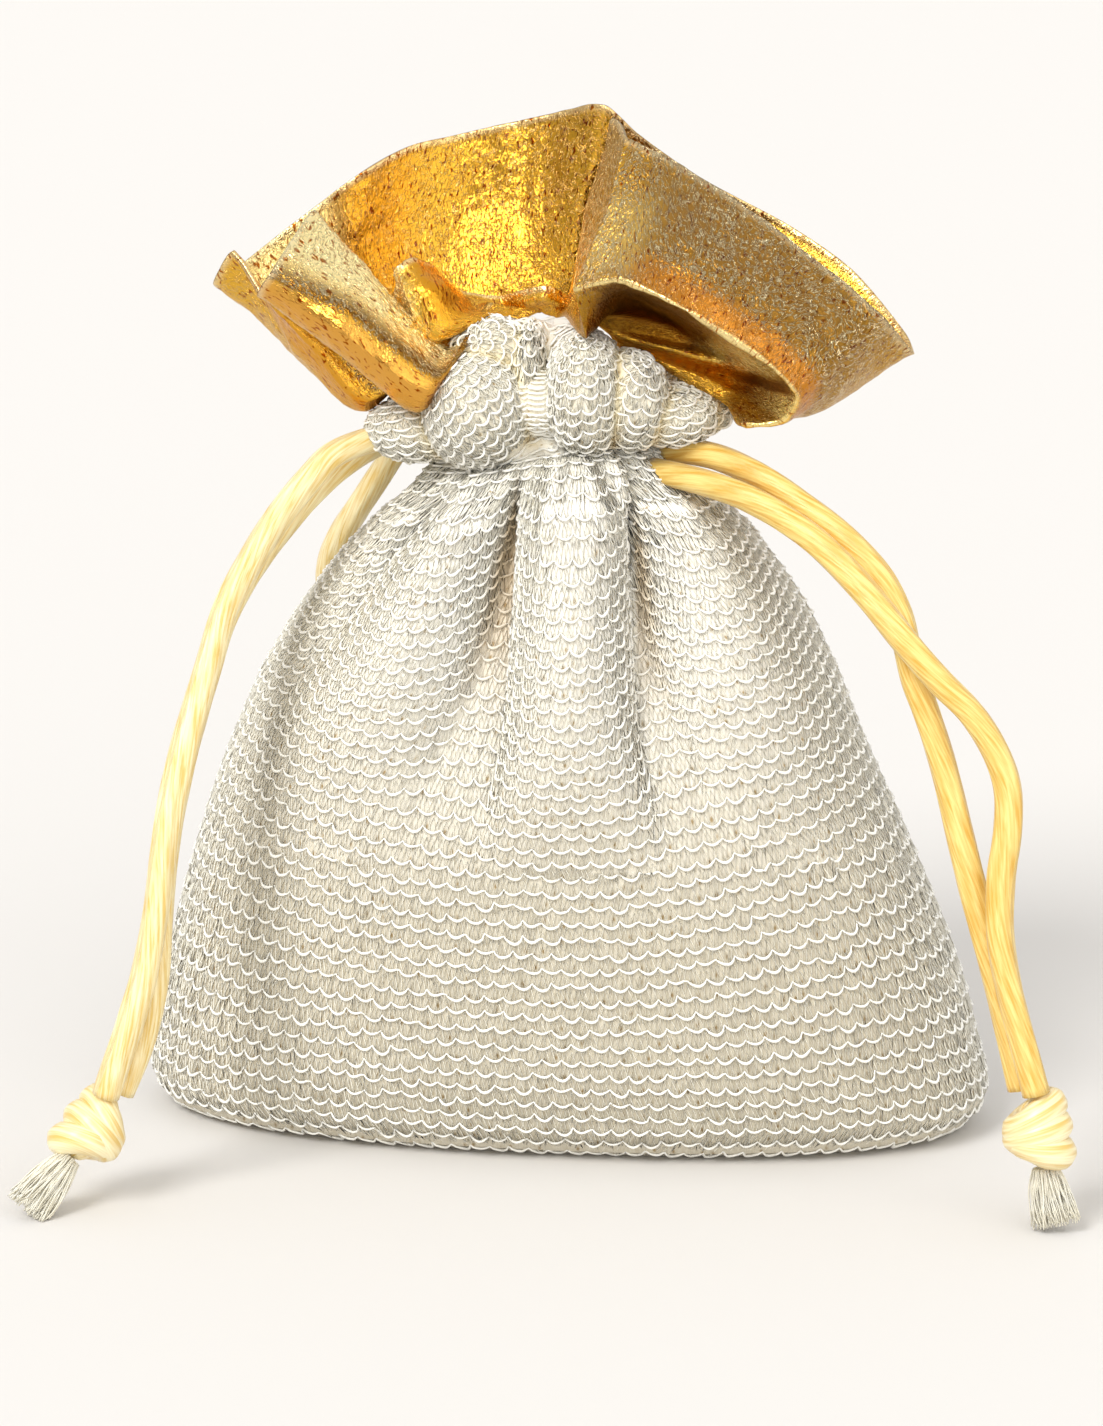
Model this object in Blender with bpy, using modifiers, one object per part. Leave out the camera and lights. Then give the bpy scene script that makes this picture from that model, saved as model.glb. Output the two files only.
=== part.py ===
"""Potli bag, standing on its flat base: metres, +Z up, front towards -Y.

A stuffed pouch of knitted yarn is gathered at the neck by two satin drawstrings. Above the
gather the knit flares into a ruffle, and a collar of metallic sheet is sewn along its top edge.
Each drawstring pair hangs in a bow to the ground and ends in a knot with a frayed tassel.
Sizes below are in millimetres.
"""

import math
from dataclasses import dataclass

import bmesh
import bpy
from mathutils import Matrix, Vector

MM = 0.001

# Pouch
BODY_WIDTH = 111.0
BODY_DEPTH = 55.0
NECK_HEIGHT = 90.5
NECK_X = -2.5
NECK_WIDTH = 30.0
NECK_DEPTH = 26.5
NECK_TILT_LEFT = 0.17
NECK_TILT_RIGHT = 0.02
PLEAT_X = 2.4
RUFFLE_HEIGHT = 16.0
SECTION_SQUARENESS = 2.3

# Knit
COURSE_PITCH = 1.9
COURSE_RELIEF = 0.32
COURSE_SIDE_RISE = 9.0
COURSES_START = 3.0
COURSES_END = 79.0
FRONT_COLUMNS = 22
BACK_COLUMNS = 14
GATHERED_ROWS = 4

# Gathers, and how far below the neck the folds' tops round off
GATHER_COUNT = 17
GATHER_DEPTH = 0.9
GATHER_REACH = 8.0
FOLD_TOP_ROUNDING = 7.0

# Core that the ruffle's lobes stand on: half sizes of its ring, its height above the neck, the
# radius of the cloth round it in the creases, and how high the lowest row sits above the neck
CORE_HALF_WIDTH = 12.0
CORE_HALF_DEPTH = 8.5
CORE_HEIGHT = 6.0
CREASE_RADIUS = 4.4
RUFFLE_SEAT = 0.3

# Dished top of the pouch inside the seam: height of its middle as a share of the ruffle's, and
# how far in and how far down its inner ring lies
TOP_MIDDLE_SHARE = 0.62
TOP_DISH_SHARE = 0.45
TOP_DISH_DEPTH = 1.2
LOBE_SHARPNESS = 22

# Collar
SHEET_THICKNESS = 0.8
SEAM_CLEARANCE = 0.7

# Drawstrings
CORD_DIAMETER = 3.5
CORD_POINT_SPACING = 7.5
CORD_SIDES_RESOLUTION = 2
KNOT_GAP = 0.45
KNOT_RADIUS = 2.5
KNOT_WRAP_RADIUS = 1.9
KNOT_WRAP_RISE = 1.5
KNOT_STRETCH = 1.75
TASSEL_WIDTH = 7.4
TASSEL_THICKNESS = 3.6
TASSEL_NECK = 3.2
TASSEL_STRANDS = 9
FLOOR_GAP = 0.2

# Profile of the stuffed pouch: share of the neck height, then the shares of half the body's
# width on the left and right, and of half its depth.
PROFILE = (
    (0.000, 0.905, 0.905, 0.670),
    (0.014, 0.966, 0.960, 0.775),
    (0.055, 1.000, 0.998, 0.890),
    (0.133, 0.987, 0.970, 0.975),
    (0.243, 0.948, 0.919, 1.000),
    (0.387, 0.886, 0.825, 0.982),
    (0.530, 0.811, 0.724, 0.931),
    (0.674, 0.717, 0.630, 0.844),
    (0.773, 0.627, 0.548, 0.764),
    (0.873, 0.519, 0.432, 0.655),
    (0.928, 0.430, 0.335, 0.595),
    (0.962, 0.350, 0.260, 0.525),
)

# Where the ruffle's cloth ends under the collar's seam, against the angle in degrees from the
# front, positive towards the right: share of the ruffle's height, and share of the core's ring.
RUFFLE_TOP = (
    (-95, 0.46, 0.88), (-76, 0.48, 0.88), (-62, 0.54, 0.86), (-46, 0.70, 0.78),
    (-26, 0.98, 0.66), (-4, 0.98, 0.60), (14, 0.94, 0.60), (30, 0.96, 0.66), (50, 0.86, 0.76),
    (68, 0.74, 0.84), (84, 0.68, 0.86), (98, 0.64, 0.86), (120, 0.68, 0.86), (150, 0.82, 0.86),
    (185, 0.88, 0.84), (222, 0.72, 0.88), (265, 0.46, 0.88),
)
# Slopes in degrees, from under the lobes to over them, of the rows of the ruffle
RUFFLE_SLOPES = (-60, -44, -27, -8, 12, 32, 52, 72, 94)


@dataclass(frozen=True)
class Ridge:
    """A ridge of cloth under the gather: (height, x, half-width, crest) down it, and how round
    its flanks are, from 0.4 for a tube to 1 for a soft slope."""

    path: tuple
    roundness: float


FRONT_RIDGES = (
    # Tube-like middle pleat
    Ridge(((90, 2.4, 7.4, 5.2), (72, 2.7, 7.9, 5.4), (56, 3.0, 9.0, 3.4), (40, 3.5, 12, 0.4)),
          0.55),
    # Left ridge and the smaller one beyond it
    Ridge(((90, -9.4, 5.2, 4.6), (78, -15, 8.4, 3.8), (64, -22, 12, 2.6), (46, -32, 15, 0.3)),
          0.8),
    Ridge(((90, -16.5, 4.0, 3.0), (78, -26, 6.0, 1.6), (64, -38, 9.0, 0.6), (46, -46, 12, 0.1)),
          0.8),
    # Right ridge
    Ridge(((90, 13.4, 5.0, 4.4), (78, 19.4, 8.2, 3.4), (64, 26, 12, 2.4), (46, 36, 15, 0.3)),
          0.8),
)
BACK_RIDGES = (
    Ridge(((90, -3, 6.0, 3.4), (64, -5, 9.0, 2.2), (44, -6, 14, 0.2)), 0.8),
    Ridge(((90, -12, 5.0, 3.0), (66, -22, 9.0, 1.8), (46, -28, 14, 0.2)), 0.8),
    Ridge(((90, 8, 5.4, 3.2), (66, 13, 10, 2.2), (46, 18, 14, 0.2)), 0.8),
)
# Depth of the valleys between the ridges, against the height
VALLEYS = ((40, 0.0), (54, -2.6), (70, -4.4), (82, -4.2), (90.5, -3.4))


@dataclass(frozen=True)
class Lobe:
    """A puffed lobe of the ruffle: (x, y, height above the neck) of its middle, its half sizes
    outwards, along the ruffle and up, and the direction it faces in degrees from the front."""

    centre: tuple
    sizes: tuple
    facing: float


LOBES = (
    # Front, from the left: end, large drooping lobe, ball behind it, strip, middle, right, end
    Lobe((-18.2, -5.6, 1.6), (7.2, 6.8, 4.2), -62),
    Lobe((-10.2, -8.8, 4.9), (8.6, 6.9, 7.8), -18),
    Lobe((-9.0, -4.3, 10.7), (4.8, 4.9, 4.7), -20),
    Lobe((-3.8, -6.4, 7.8), (5.6, 2.4, 8.2), -4),
    Lobe((3.4, -8.4, 7.0), (8.4, 5.4, 8.0), 5),
    Lobe((8.6, -7.8, 6.2), (7.0, 5.0, 6.4), 24),
    Lobe((13.8, -5.8, 4.1), (6.4, 6.0, 4.0), 48),
    Lobe((16.6, -3.6, 3.9), (4.8, 5.4, 2.6), 72),
    # Back
    Lobe((9.0, 5.6, 4.8), (7.2, 7.0, 4.4), 140),
    Lobe((-1.5, 7.6, 6.8), (7.6, 6.6, 7.2), 182),
    Lobe((-12.0, 5.6, 5.6), (7.2, 7.0, 5.6), 220),
    Lobe((-17.6, 2.6, 3.9), (5.6, 5.0, 3.0), 268),
)


@dataclass(frozen=True)
class Rib:
    """One line of the collar's cage, from the seam outwards: seam angle in degrees, then
    (x, y, height above the neck) of the points that follow. `high` is halfway up to the rim
    where it isn't given."""

    angle: float
    low: tuple
    mid: tuple
    rim: tuple
    high: tuple = None


# Right flap: it overhangs the ruffle in a lip, with a hollow under it
RIGHT_FLAP = (
    Rib(28, (2.6, -15, 18.6), (5.1, -12.8, 28.4), (7.8, -2, 38.6)),
    Rib(38, (7.5, -6, 17.6), (8.5, -17.8, 22.0), (13.8, -3, 35.5), (10.6, -11, 28.9)),
    Rib(50, (13.5, -2.5, 15.5), (16.3, -20.4, 19.4), (22.7, -6, 30.6), (19.5, -14.5, 25.0)),
    Rib(62, (17.5, -1.5, 11.5), (24.3, -20.2, 14.6), (31.6, -8, 24.4), (27.8, -15.5, 19.7)),
    Rib(74, (21.5, -4, 8.4), (31.8, -18.4, 8.0), (39.8, -8, 18.2), (35.2, -14, 13.2)),
    Rib(84, (23.2, -6.0, 6.2), (30.0, -9.5, 4.4), (43.8, -0.5, 12.0), (36.6, -5.5, 7.8)),
)
BACK_RIGHT = (
    Rib(98, (21.0, 1, 8.8), (29, 3, 6.8), (42.5, 5, 13.5)),
    Rib(115, (19, 7, 9.8), (27, 11, 14.5), (35.5, 12.5, 20)),
    Rib(132, (15, 11.5, 13.5), (20, 16, 20.5), (26, 17.5, 25.5)),
    Rib(150, (9, 13, 16.5), (12.5, 17, 25), (15.5, 17, 31)),
)
BACK_WALL = (
    Rib(166, (3.5, 10.5, 18), (5, 13, 27), (8, 12, 37)),
    Rib(178, (-0.5, 8, 18.5), (0.5, 9.5, 28), (3.4, 10, 41.2)),
    Rib(190, (-4, 8, 18.5), (-4.5, 12, 29), (-3, 15, 39.6)),
    Rib(204, (-9, 8.5, 17.5), (-10.3, 13.5, 27.8), (-10.2, 16.5, 37.8)),
    Rib(218, (-14.5, 8.5, 15.5), (-16.9, 13.5, 26.4), (-16.8, 16.5, 36.2)),
    Rib(232, (-19, 7.5, 13), (-23, 11, 23.6), (-22.6, 14, 35)),
    Rib(246, (-22, 6, 11.5), (-27, 9, 20.5), (-28.2, 10, 32)),
)
LEFT_CORNER = (
    Rib(257, (-24, 4.5, 9.5), (-31, 8, 17.0), (-34.2, 9.5, 27.5)),
    Rib(265, (-26.5, 3.5, 7.5), (-34.5, 7, 14.0), (-40, 9, 22.6)),
    Rib(272, (-29, 1, 5), (-37, 2, 10.5), (-46, 2, 19.4)),
    Rib(282, (-28, -2.5, 6.6), (-35, -3, 13.4), (-43, -4, 25)),
    Rib(290, (-24, -7.5, 5.2), (-31.5, -7.5, 10.8), (-39.7, -6.5, 18)),
)
# Left flute: a rounded tube that lies over the ruffle
LEFT_FLUTE = (
    Rib(297, (-19.0, -16.0, 4.4), (-28.8, -15.6, 12.4), (-38.6, -12.6, 19.8)),
    Rib(304, (-15.8, -17.0, 10.0), (-26.5, -15.5, 18.6), (-36.2, -11.5, 24.9)),
    Rib(309, (-15.4, -12.5, 11.8), (-24.5, -8.0, 19.5), (-33.2, -0.5, 28.6)),
)
# Front hem: low, with a standing tongue and a small pleat
FRONT_HEM = (
    Rib(313, (-16.6, -7, 11.5), (-18.6, -6, 13), (-21, -5, 14.5)),
    Rib(318, (-16.4, -8.4, 14.8), (-18.8, -8, 15.8), (-22.2, -6.5, 18.6)),
    Rib(325, (-13.8, -9.4, 17.0), (-16.6, -9.5, 18.8), (-19.6, -6, 23.2)),
    Rib(332, (-10.6, -7.2, 17.0), (-12.4, -6, 18.8), (-14.2, -4.2, 21.4)),
    Rib(341, (-8, -4.6, 17.6), (-8.6, -4.2, 18.4), (-9.4, -3.4, 19.2)),
    Rib(352, (-5, -5, 17.6), (-5.2, -5.6, 18.8), (-5.2, -5, 20.6)),
    Rib(364, (-2, -5.5, 17.6), (-1.9, -6, 18.8), (-1.6, -5, 20.2)),
    Rib(374, (0.5, -5.5, 17.4), (0.8, -5.5, 18.2), (1, -4, 19.2)),
    Rib(382, (1.2, -8.5, 19.4), (2.2, -2.5, 28), (4.4, 5.5, 40)),
)
COLLAR_RIBS = RIGHT_FLAP + BACK_RIGHT + BACK_WALL + LEFT_CORNER + LEFT_FLUTE + FRONT_HEM

# Routes of the drawstrings, from the neck to the knot
LEFT_FRONT_ROUTE = (
    (-25.6, -8.5, 90.8), (-28.3, -10.8, 89.6), (-30.9, -13.0, 87.2),
    (-34.8, -17.0, 82.4), (-37.8, -21.0, 77.2), (-40.2, -25.0, 72.0), (-41.6, -28.0, 66.5),
    (-42.9, -31.0, 61.0), (-44.2, -33.5, 55.3), (-45.3, -36.2, 49.0), (-45.9, -38.2, 43.8),
    (-46.5, -40.3, 37.0), (-47.6, -42.4, 29.8), (-49.2, -43.6, 24.2), (-50.9, -44.4, 19.0),
    (-52.4, -44.6, 14.4),
)
LEFT_REAR_ROUTE = (
    (-23.6, -1.6, 89.6), (-27.0, -4.5, 88.0), (-31.4, -8.6, 84.6),
    (-35.4, -12.6, 80.0), (-38.7, -16.4, 75.0), (-41.2, -20.4, 69.8), (-42.7, -23.4, 64.4),
    (-44.0, -26.4, 58.9), (-45.2, -28.8, 53.3), (-46.2, -31.6, 47.2), (-46.7, -34.0, 41.0),
    (-46.8, -36.4, 35.2), (-46.9, -38.2, 29.6), (-47.6, -39.4, 24.8), (-49.0, -40.5, 19.4),
    (-51.2, -41.5, 13.8),
)
RIGHT_REAR_ROUTE = (
    (17.7, -8.0, 90.0), (20.8, -9.9, 89.7), (25.4, -12.6, 88.4), (31.4, -16.0, 85.2),
    (36.9, -19.0, 81.7), (41.1, -21.2, 77.8), (43.5, -22.8, 73.9), (44.8, -24.0, 70.0),
    (46.0, -25.2, 65.6), (47.7, -26.6, 61.4), (49.9, -28.6, 55.4), (51.9, -30.6, 48.4),
    (53.7, -32.2, 42.0), (55.5, -33.4, 35.6), (57.9, -34.6, 27.0), (60.4, -35.9, 17.0),
)
RIGHT_FRONT_ROUTE = (
    (16.9, -12.0, 87.4), (20.6, -14.3, 87.1), (23.8, -16.0, 86.4), (29.6, -19.0, 84.0),
    (34.8, -22.0, 80.8), (39.8, -25.0, 76.4), (44.8, -28.0, 71.2), (49.3, -29.8, 66.6),
    (53.3, -30.8, 62.8), (56.2, -31.8, 58.6), (57.8, -32.8, 54.2), (58.0, -33.9, 49.4),
    (57.3, -35.6, 43.4), (57.4, -37.0, 36.8), (58.8, -38.0, 30.0), (60.6, -38.7, 23.6),
    (62.3, -39.2, 17.5),
)
SLACK_LOOP_ROUTE = (
    (-18.6, 5.4, 90.2), (-22.6, 9.0, 87.8), (-26.0, 12.2, 83.0), (-30.0, 15.2, 77.2),
    (-33.4, 18.2, 71.6), (-35.0, 21.4, 66.4), (-34.4, 24.6, 61.4), (-31.4, 27.4, 57.8),
    (-27.0, 29.2, 56.8), (-22.6, 29.8, 58.6), (-19.6, 29.0, 63.2), (-17.6, 27.0, 69.2),
    (-15.8, 24.0, 75.4), (-14.0, 20.4, 81.4), (-12.4, 17.0, 86.2),
)

# Knots: centre of each, the lean of its wraps, and where its tassel meets the ground
LEFT_KNOT = (-54.4, -43.9, 9.4)
RIGHT_KNOT = (62.6, -38.0, 12.2)
LEFT_KNOT_LEAN = 34
RIGHT_KNOT_LEAN = -30
LEFT_TASSEL_END = (-60.9, -50.4, 1.9)
RIGHT_TASSEL_END = (65.0, -39.6, 1.9)

COLOURS = {
    "pouch": (0.80, 0.77, 0.70, 0.45, 0.0),
    "gold_collar": (0.83, 0.56, 0.16, 0.24, 1.0),
    "cord": (0.86, 0.66, 0.30, 0.32, 0.0),
    "tassel": (0.92, 0.86, 0.66, 0.38, 0.0),
}


def clear_scene():
    for item in list(bpy.data.objects):
        bpy.data.objects.remove(item, do_unlink=True)


def satin(name, finish):
    """A material from its colour, roughness and metallic value."""
    red, green, blue, roughness, metallic = COLOURS[finish]
    material = bpy.data.materials.new(name)
    material.use_nodes = True
    shader = material.node_tree.nodes["Principled BSDF"]
    shader.inputs["Base Color"].default_value = (red, green, blue, 1)
    shader.inputs["Roughness"].default_value = roughness
    shader.inputs["Metallic"].default_value = metallic
    return material


def add_object(name, data, finish, collection):
    piece = bpy.data.objects.new(name, data)
    piece.data.materials.append(satin(name, finish))
    collection.objects.link(piece)
    return piece


def spline_value(stations, at):
    """Catmull-Rom value at `at` through rows of (position, value, ...)."""
    last = len(stations) - 1
    row = next((i for i in range(last) if at <= stations[i + 1][0]), last - 1)
    before, start = stations[max(row - 1, 0)], stations[row]
    end, after = stations[row + 1], stations[min(row + 2, last)]
    t = min(max((at - start[0]) / (end[0] - start[0]), 0), 1)
    return [
        0.5 * (2 * b + (c - a) * t + (2 * a - 5 * b + 4 * c - d) * t**2
               + (3 * b - a - 3 * c + d) * t**3)
        for a, b, c, d in zip(before[1:], start[1:], end[1:], after[1:])
    ]


def smooth_route(points, spacing):
    """Points `spacing` apart along a Catmull-Rom curve through the route's points."""
    steps = 12
    rows = [(float(i), *point) for i, point in enumerate(points)]
    dense = [Vector(spline_value(rows, i / steps)) for i in range((len(points) - 1) * steps + 1)]
    lengths = [0.0]
    for first, second in zip(dense, dense[1:]):
        lengths.append(lengths[-1] + (second - first).length)
    count = max(round(lengths[-1] / spacing), 3)
    found = []
    for i in range(count + 1):
        target = lengths[-1] * i / count
        row = next((k for k in range(len(dense) - 1) if lengths[k + 1] >= target), len(dense) - 2)
        t = (target - lengths[row]) / max(lengths[row + 1] - lengths[row], 1e-9)
        found.append(dense[row].lerp(dense[row + 1], min(t, 1)))
    return found


def section_share(angle):
    """(x, y) of the rounded section, each from -1 to 1, at an angle from the front."""
    turn = math.remainder(angle, math.tau)
    from_front = abs(turn) if abs(turn) <= math.pi / 2 else math.pi - abs(turn)
    across = 0.55 * from_front / (math.pi / 2) + 0.45 * math.sin(from_front)
    along = max(1 - across**SECTION_SQUARENESS, 0) ** (1 / SECTION_SQUARENESS)
    side = 1 if turn >= 0 else -1
    return side * across, -along if abs(turn) <= math.pi / 2 else along


def ridge_relief(ridges, x, height):
    """How far the cloth stands out: the highest ridge there, or the valley's floor."""
    if height < VALLEYS[0][0]:
        return 0.0
    floor = spline_value(VALLEYS, height)[0]
    found = floor
    for ridge in ridges:
        downwards = [(-row[0], *row[1:]) for row in ridge.path]
        centre, width, crest = spline_value(downwards, -min(height, ridge.path[0][0]))
        flank = max(1 - ((x - centre) / width) ** 2, 0) ** ridge.roundness
        found = max(found, floor + (crest - floor) * flank)
    return found


def ruffle_top(angle_deg):
    """Height of the cloth's end above the neck, and its share of the core's ring."""
    start = RUFFLE_TOP[0][0]
    top, ring = spline_value(RUFFLE_TOP, (angle_deg - start) % 360 + start)
    return top * RUFFLE_HEIGHT, ring


def reach(lobe, start, direction):
    """How far a ray from `start` runs before it leaves the lobe, or 0 where it misses it."""
    turn = math.radians(lobe.facing)
    out = Vector((math.sin(turn), -math.cos(turn), 0))
    beside = Vector((math.cos(turn), math.sin(turn), 0))
    middle = Vector(lobe.centre) + Vector((0, 0, NECK_HEIGHT))

    def scaled(vector):
        shares = (vector.dot(out), vector.dot(beside), vector.z)
        return Vector(share / size for share, size in zip(shares, lobe.sizes))

    place, step = scaled(start - middle), scaled(direction)
    half = place.dot(step)
    inside = half**2 - step.length_squared * (place.length_squared - 1)
    return max((math.sqrt(inside) - half) / step.length_squared, 0) if inside > 0 else 0


def ruffle_point(angle_deg, slope):
    """A point on the outside of the ruffle: the furthest lobe on a ray from its core."""
    across, along = section_share(math.radians(angle_deg))
    core = Vector((NECK_X + CORE_HALF_WIDTH * across, CORE_HALF_DEPTH * along,
                   NECK_HEIGHT + CORE_HEIGHT))
    outwards = Vector((across, along, 0)).normalized()
    direction = outwards * math.cos(math.radians(slope))
    direction.z = math.sin(math.radians(slope))
    runs = [reach(lobe, core, direction) for lobe in LOBES] + [CREASE_RADIUS]
    point = core + direction * sum(run**LOBE_SHARPNESS for run in runs) ** (1 / LOBE_SHARPNESS)
    if slope < RUFFLE_SLOPES[1]:
        point.z = max(point.z, neck_height(point.x) + RUFFLE_SEAT)
    return point


def lobe_top(x, y):
    """Height of the highest lobe over a point of the plan."""
    found = NECK_HEIGHT
    for lobe in LOBES:
        turn = math.radians(lobe.facing)
        away_x, away_y = x - lobe.centre[0], y - lobe.centre[1]
        out = (away_x * math.sin(turn) - away_y * math.cos(turn)) / lobe.sizes[0]
        beside = (away_x * math.cos(turn) + away_y * math.sin(turn)) / lobe.sizes[1]
        inside = 1 - out**2 - beside**2
        if inside > 0:
            found = max(found, NECK_HEIGHT + lobe.centre[2] + lobe.sizes[2] * math.sqrt(inside))
    return found


def seam_edge(angle_deg):
    """Where the ruffle's cloth ends, behind its lobes and under the collar's seam."""
    across, along = section_share(math.radians(angle_deg))
    top, ring = ruffle_top(angle_deg)
    x, y = NECK_X + CORE_HALF_WIDTH * across * ring, CORE_HALF_DEPTH * along * ring
    return Vector((x, y, max(NECK_HEIGHT + top, lobe_top(x, y))))


def neck_height(x):
    """Height of the gather, which tilts up to the right."""
    away = x - PLEAT_X
    return NECK_HEIGHT + away * (NECK_TILT_LEFT if away < 0 else NECK_TILT_RIGHT)


def body_point(angle_deg, row_height, relief):
    """A point on the stuffed pouch. Its courses rise towards the sides, as the cloth hangs."""
    across, along = section_share(math.radians(angle_deg))
    share = row_height / NECK_HEIGHT
    rise = COURSE_SIDE_RISE * math.sin(math.pi * min(share, 1)) ** 1.5 * across**2
    height = min(row_height + rise, NECK_HEIGHT)
    neck = (1.0, (NECK_WIDTH / 2 - NECK_X) / (BODY_WIDTH / 2),
            (NECK_WIDTH / 2 + NECK_X) / (BODY_WIDTH / 2), NECK_DEPTH / BODY_DEPTH)
    left, right, depth = spline_value(PROFILE + (neck,), height / NECK_HEIGHT)
    half_width = (left if across < 0 else right) * BODY_WIDTH / 2
    x, y = half_width * across, depth * BODY_DEPTH / 2 * along
    ridges = FRONT_RIDGES if along < 0 else BACK_RIDGES
    top = max(1 - ((height - NECK_HEIGHT) / FOLD_TOP_ROUNDING + 1) ** 2, 0) ** 0.5 \
        if height > NECK_HEIGHT - FOLD_TOP_ROUNDING else 1
    out = ridge_relief(ridges, x, height) * abs(along) ** 0.8 * top
    gathers = math.exp(-(((NECK_HEIGHT - height) / GATHER_REACH) ** 2))
    out += GATHER_DEPTH * gathers * math.cos(GATHER_COUNT * math.radians(angle_deg))
    out += relief
    outward = Vector((x / half_width**2, y / (depth * BODY_DEPTH / 2) ** 2)).normalized()
    tilt = (neck_height(x) - NECK_HEIGHT) * (height / NECK_HEIGHT) ** 4
    return Vector((x + outward.x * out, y + outward.y * out, height + tilt))


def body_rows():
    """(height, relief) of each row: plain at the base and neck, ridged where courses show."""
    rows = [(share * NECK_HEIGHT, 0.0) for share in (0.0, 0.014)]
    half_pitch = COURSE_PITCH / 2
    count = int((COURSES_END - COURSES_START) / half_pitch)
    rows += [(COURSES_START + i * half_pitch, COURSE_RELIEF * (i % 2)) for i in range(count)]
    step = (NECK_HEIGHT - COURSES_END) / GATHERED_ROWS
    rows += [(COURSES_END + i * step, 0.0) for i in range(GATHERED_ROWS)]
    return rows


def column_angles():
    """Angles of the mesh columns from the left side round the front, closer there."""
    front = [-90 + 180 * i / FRONT_COLUMNS for i in range(FRONT_COLUMNS)]
    back = [90 + 180 * i / BACK_COLUMNS for i in range(BACK_COLUMNS)]
    return front + back


def loft(rings, close_start=True, close_end=True):
    """A mesh through rings of points, its ends closed by one face each."""
    mesh = bmesh.new()
    loops = [[mesh.verts.new(point * MM) for point in ring] for ring in rings]
    for lower, upper in zip(loops, loops[1:]):
        for i in range(len(lower)):
            j = (i + 1) % len(lower)
            mesh.faces.new((lower[i], lower[j], upper[j], upper[i]))
    if close_start:
        mesh.faces.new(list(reversed(loops[0])))
    if close_end:
        mesh.faces.new(loops[-1])
    return mesh


def finished(mesh, name):
    bmesh.ops.recalc_face_normals(mesh, faces=mesh.faces)
    data = bpy.data.meshes.new(name)
    mesh.to_mesh(data)
    mesh.free()
    data.shade_smooth()
    return data


def pouch(collection):
    """Knitted body, gather and ruffle: one closed, stuffed piece with a flat base."""
    angles = column_angles()
    rings = [[body_point(a, height, relief) for a in angles] for height, relief in body_rows()]
    rings.append([body_point(a, NECK_HEIGHT, 0.0) for a in angles])
    rings += [[ruffle_point(a, slope) for a in angles] for slope in RUFFLE_SLOPES]
    rings.append([seam_edge(a) for a in angles])
    middle = Vector((NECK_X, 0, NECK_HEIGHT + RUFFLE_HEIGHT * TOP_MIDDLE_SHARE))
    ring = []
    for a in angles:
        edge = seam_edge(a)
        point = edge.lerp(middle, TOP_DISH_SHARE)
        point.z = edge.z - TOP_DISH_DEPTH
        ring.append(point)
    rings.append(ring)
    mesh = loft(rings, close_end=False)
    mesh.verts.ensure_lookup_table()
    top = mesh.verts[-len(angles):]
    centre = mesh.verts.new(middle * MM)
    for i in range(len(top)):
        mesh.faces.new((top[i], top[(i + 1) % len(top)], centre))
    return add_object("pouch", finished(mesh, "pouch"), "pouch", collection)


def seam_point(angle_deg):
    """Where a rib of the collar starts: just above the ruffle's top, inside its edge."""
    edge = seam_edge(angle_deg)
    lift = SEAM_CLEARANCE + SHEET_THICKNESS / 2
    return Vector((edge.x, edge.y, edge.z + lift))


def rib_points(rib):
    above = Vector((0, 0, NECK_HEIGHT))
    low, mid, rim = (Vector(point) + above for point in (rib.low, rib.mid, rib.rim))
    high = Vector(rib.high) + above if rib.high else mid.lerp(rim, 0.5)
    return [seam_point(rib.angle), low, mid, high, rim]


def gold_collar(collection):
    """Metallic sheet: a coarse cage of ribs round the neck, smoothed and given its thickness."""
    columns = [rib_points(rib) for rib in COLLAR_RIBS]
    mesh = bmesh.new()
    cage = [[mesh.verts.new(point * MM) for point in column] for column in columns]
    for first, second in zip(cage, cage[1:] + cage[:1]):
        for i in range(len(first) - 1):
            mesh.faces.new((first[i], second[i], second[i + 1], first[i + 1]))
    piece = add_object("gold_collar", finished(mesh, "gold_collar"), "gold_collar", collection)
    smooth = piece.modifiers.new("smooth", "SUBSURF")
    smooth.levels = smooth.render_levels = 1
    shell = piece.modifiers.new("sheet", "SOLIDIFY")
    shell.thickness = SHEET_THICKNESS * MM
    shell.offset = 0
    return piece


def strand(name, route, collection):
    """One free run of a drawstring, as a round cord."""
    curve = bpy.data.curves.new(name, "CURVE")
    curve.dimensions = "3D"
    curve.bevel_depth = CORD_DIAMETER / 2 * MM
    curve.bevel_resolution = CORD_SIDES_RESOLUTION
    curve.use_fill_caps = True
    points = smooth_route(route, CORD_POINT_SPACING)
    spline = curve.splines.new("POLY")
    spline.points.add(len(points) - 1)
    for target, point in zip(spline.points, points):
        target.co = (*(point * MM), 1)
    spline.use_smooth = True
    return add_object(name, curve, "cord", collection)


def knot_frame(centre, tassel_end):
    """The knot's own frame: its Z axis runs up from the tassel through the centre."""
    up = (Vector(centre) - Vector(tassel_end)).normalized()
    return Matrix.Translation(Vector(centre) * MM) @ up.to_track_quat("Z", "Y").to_matrix().to_4x4()


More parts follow.
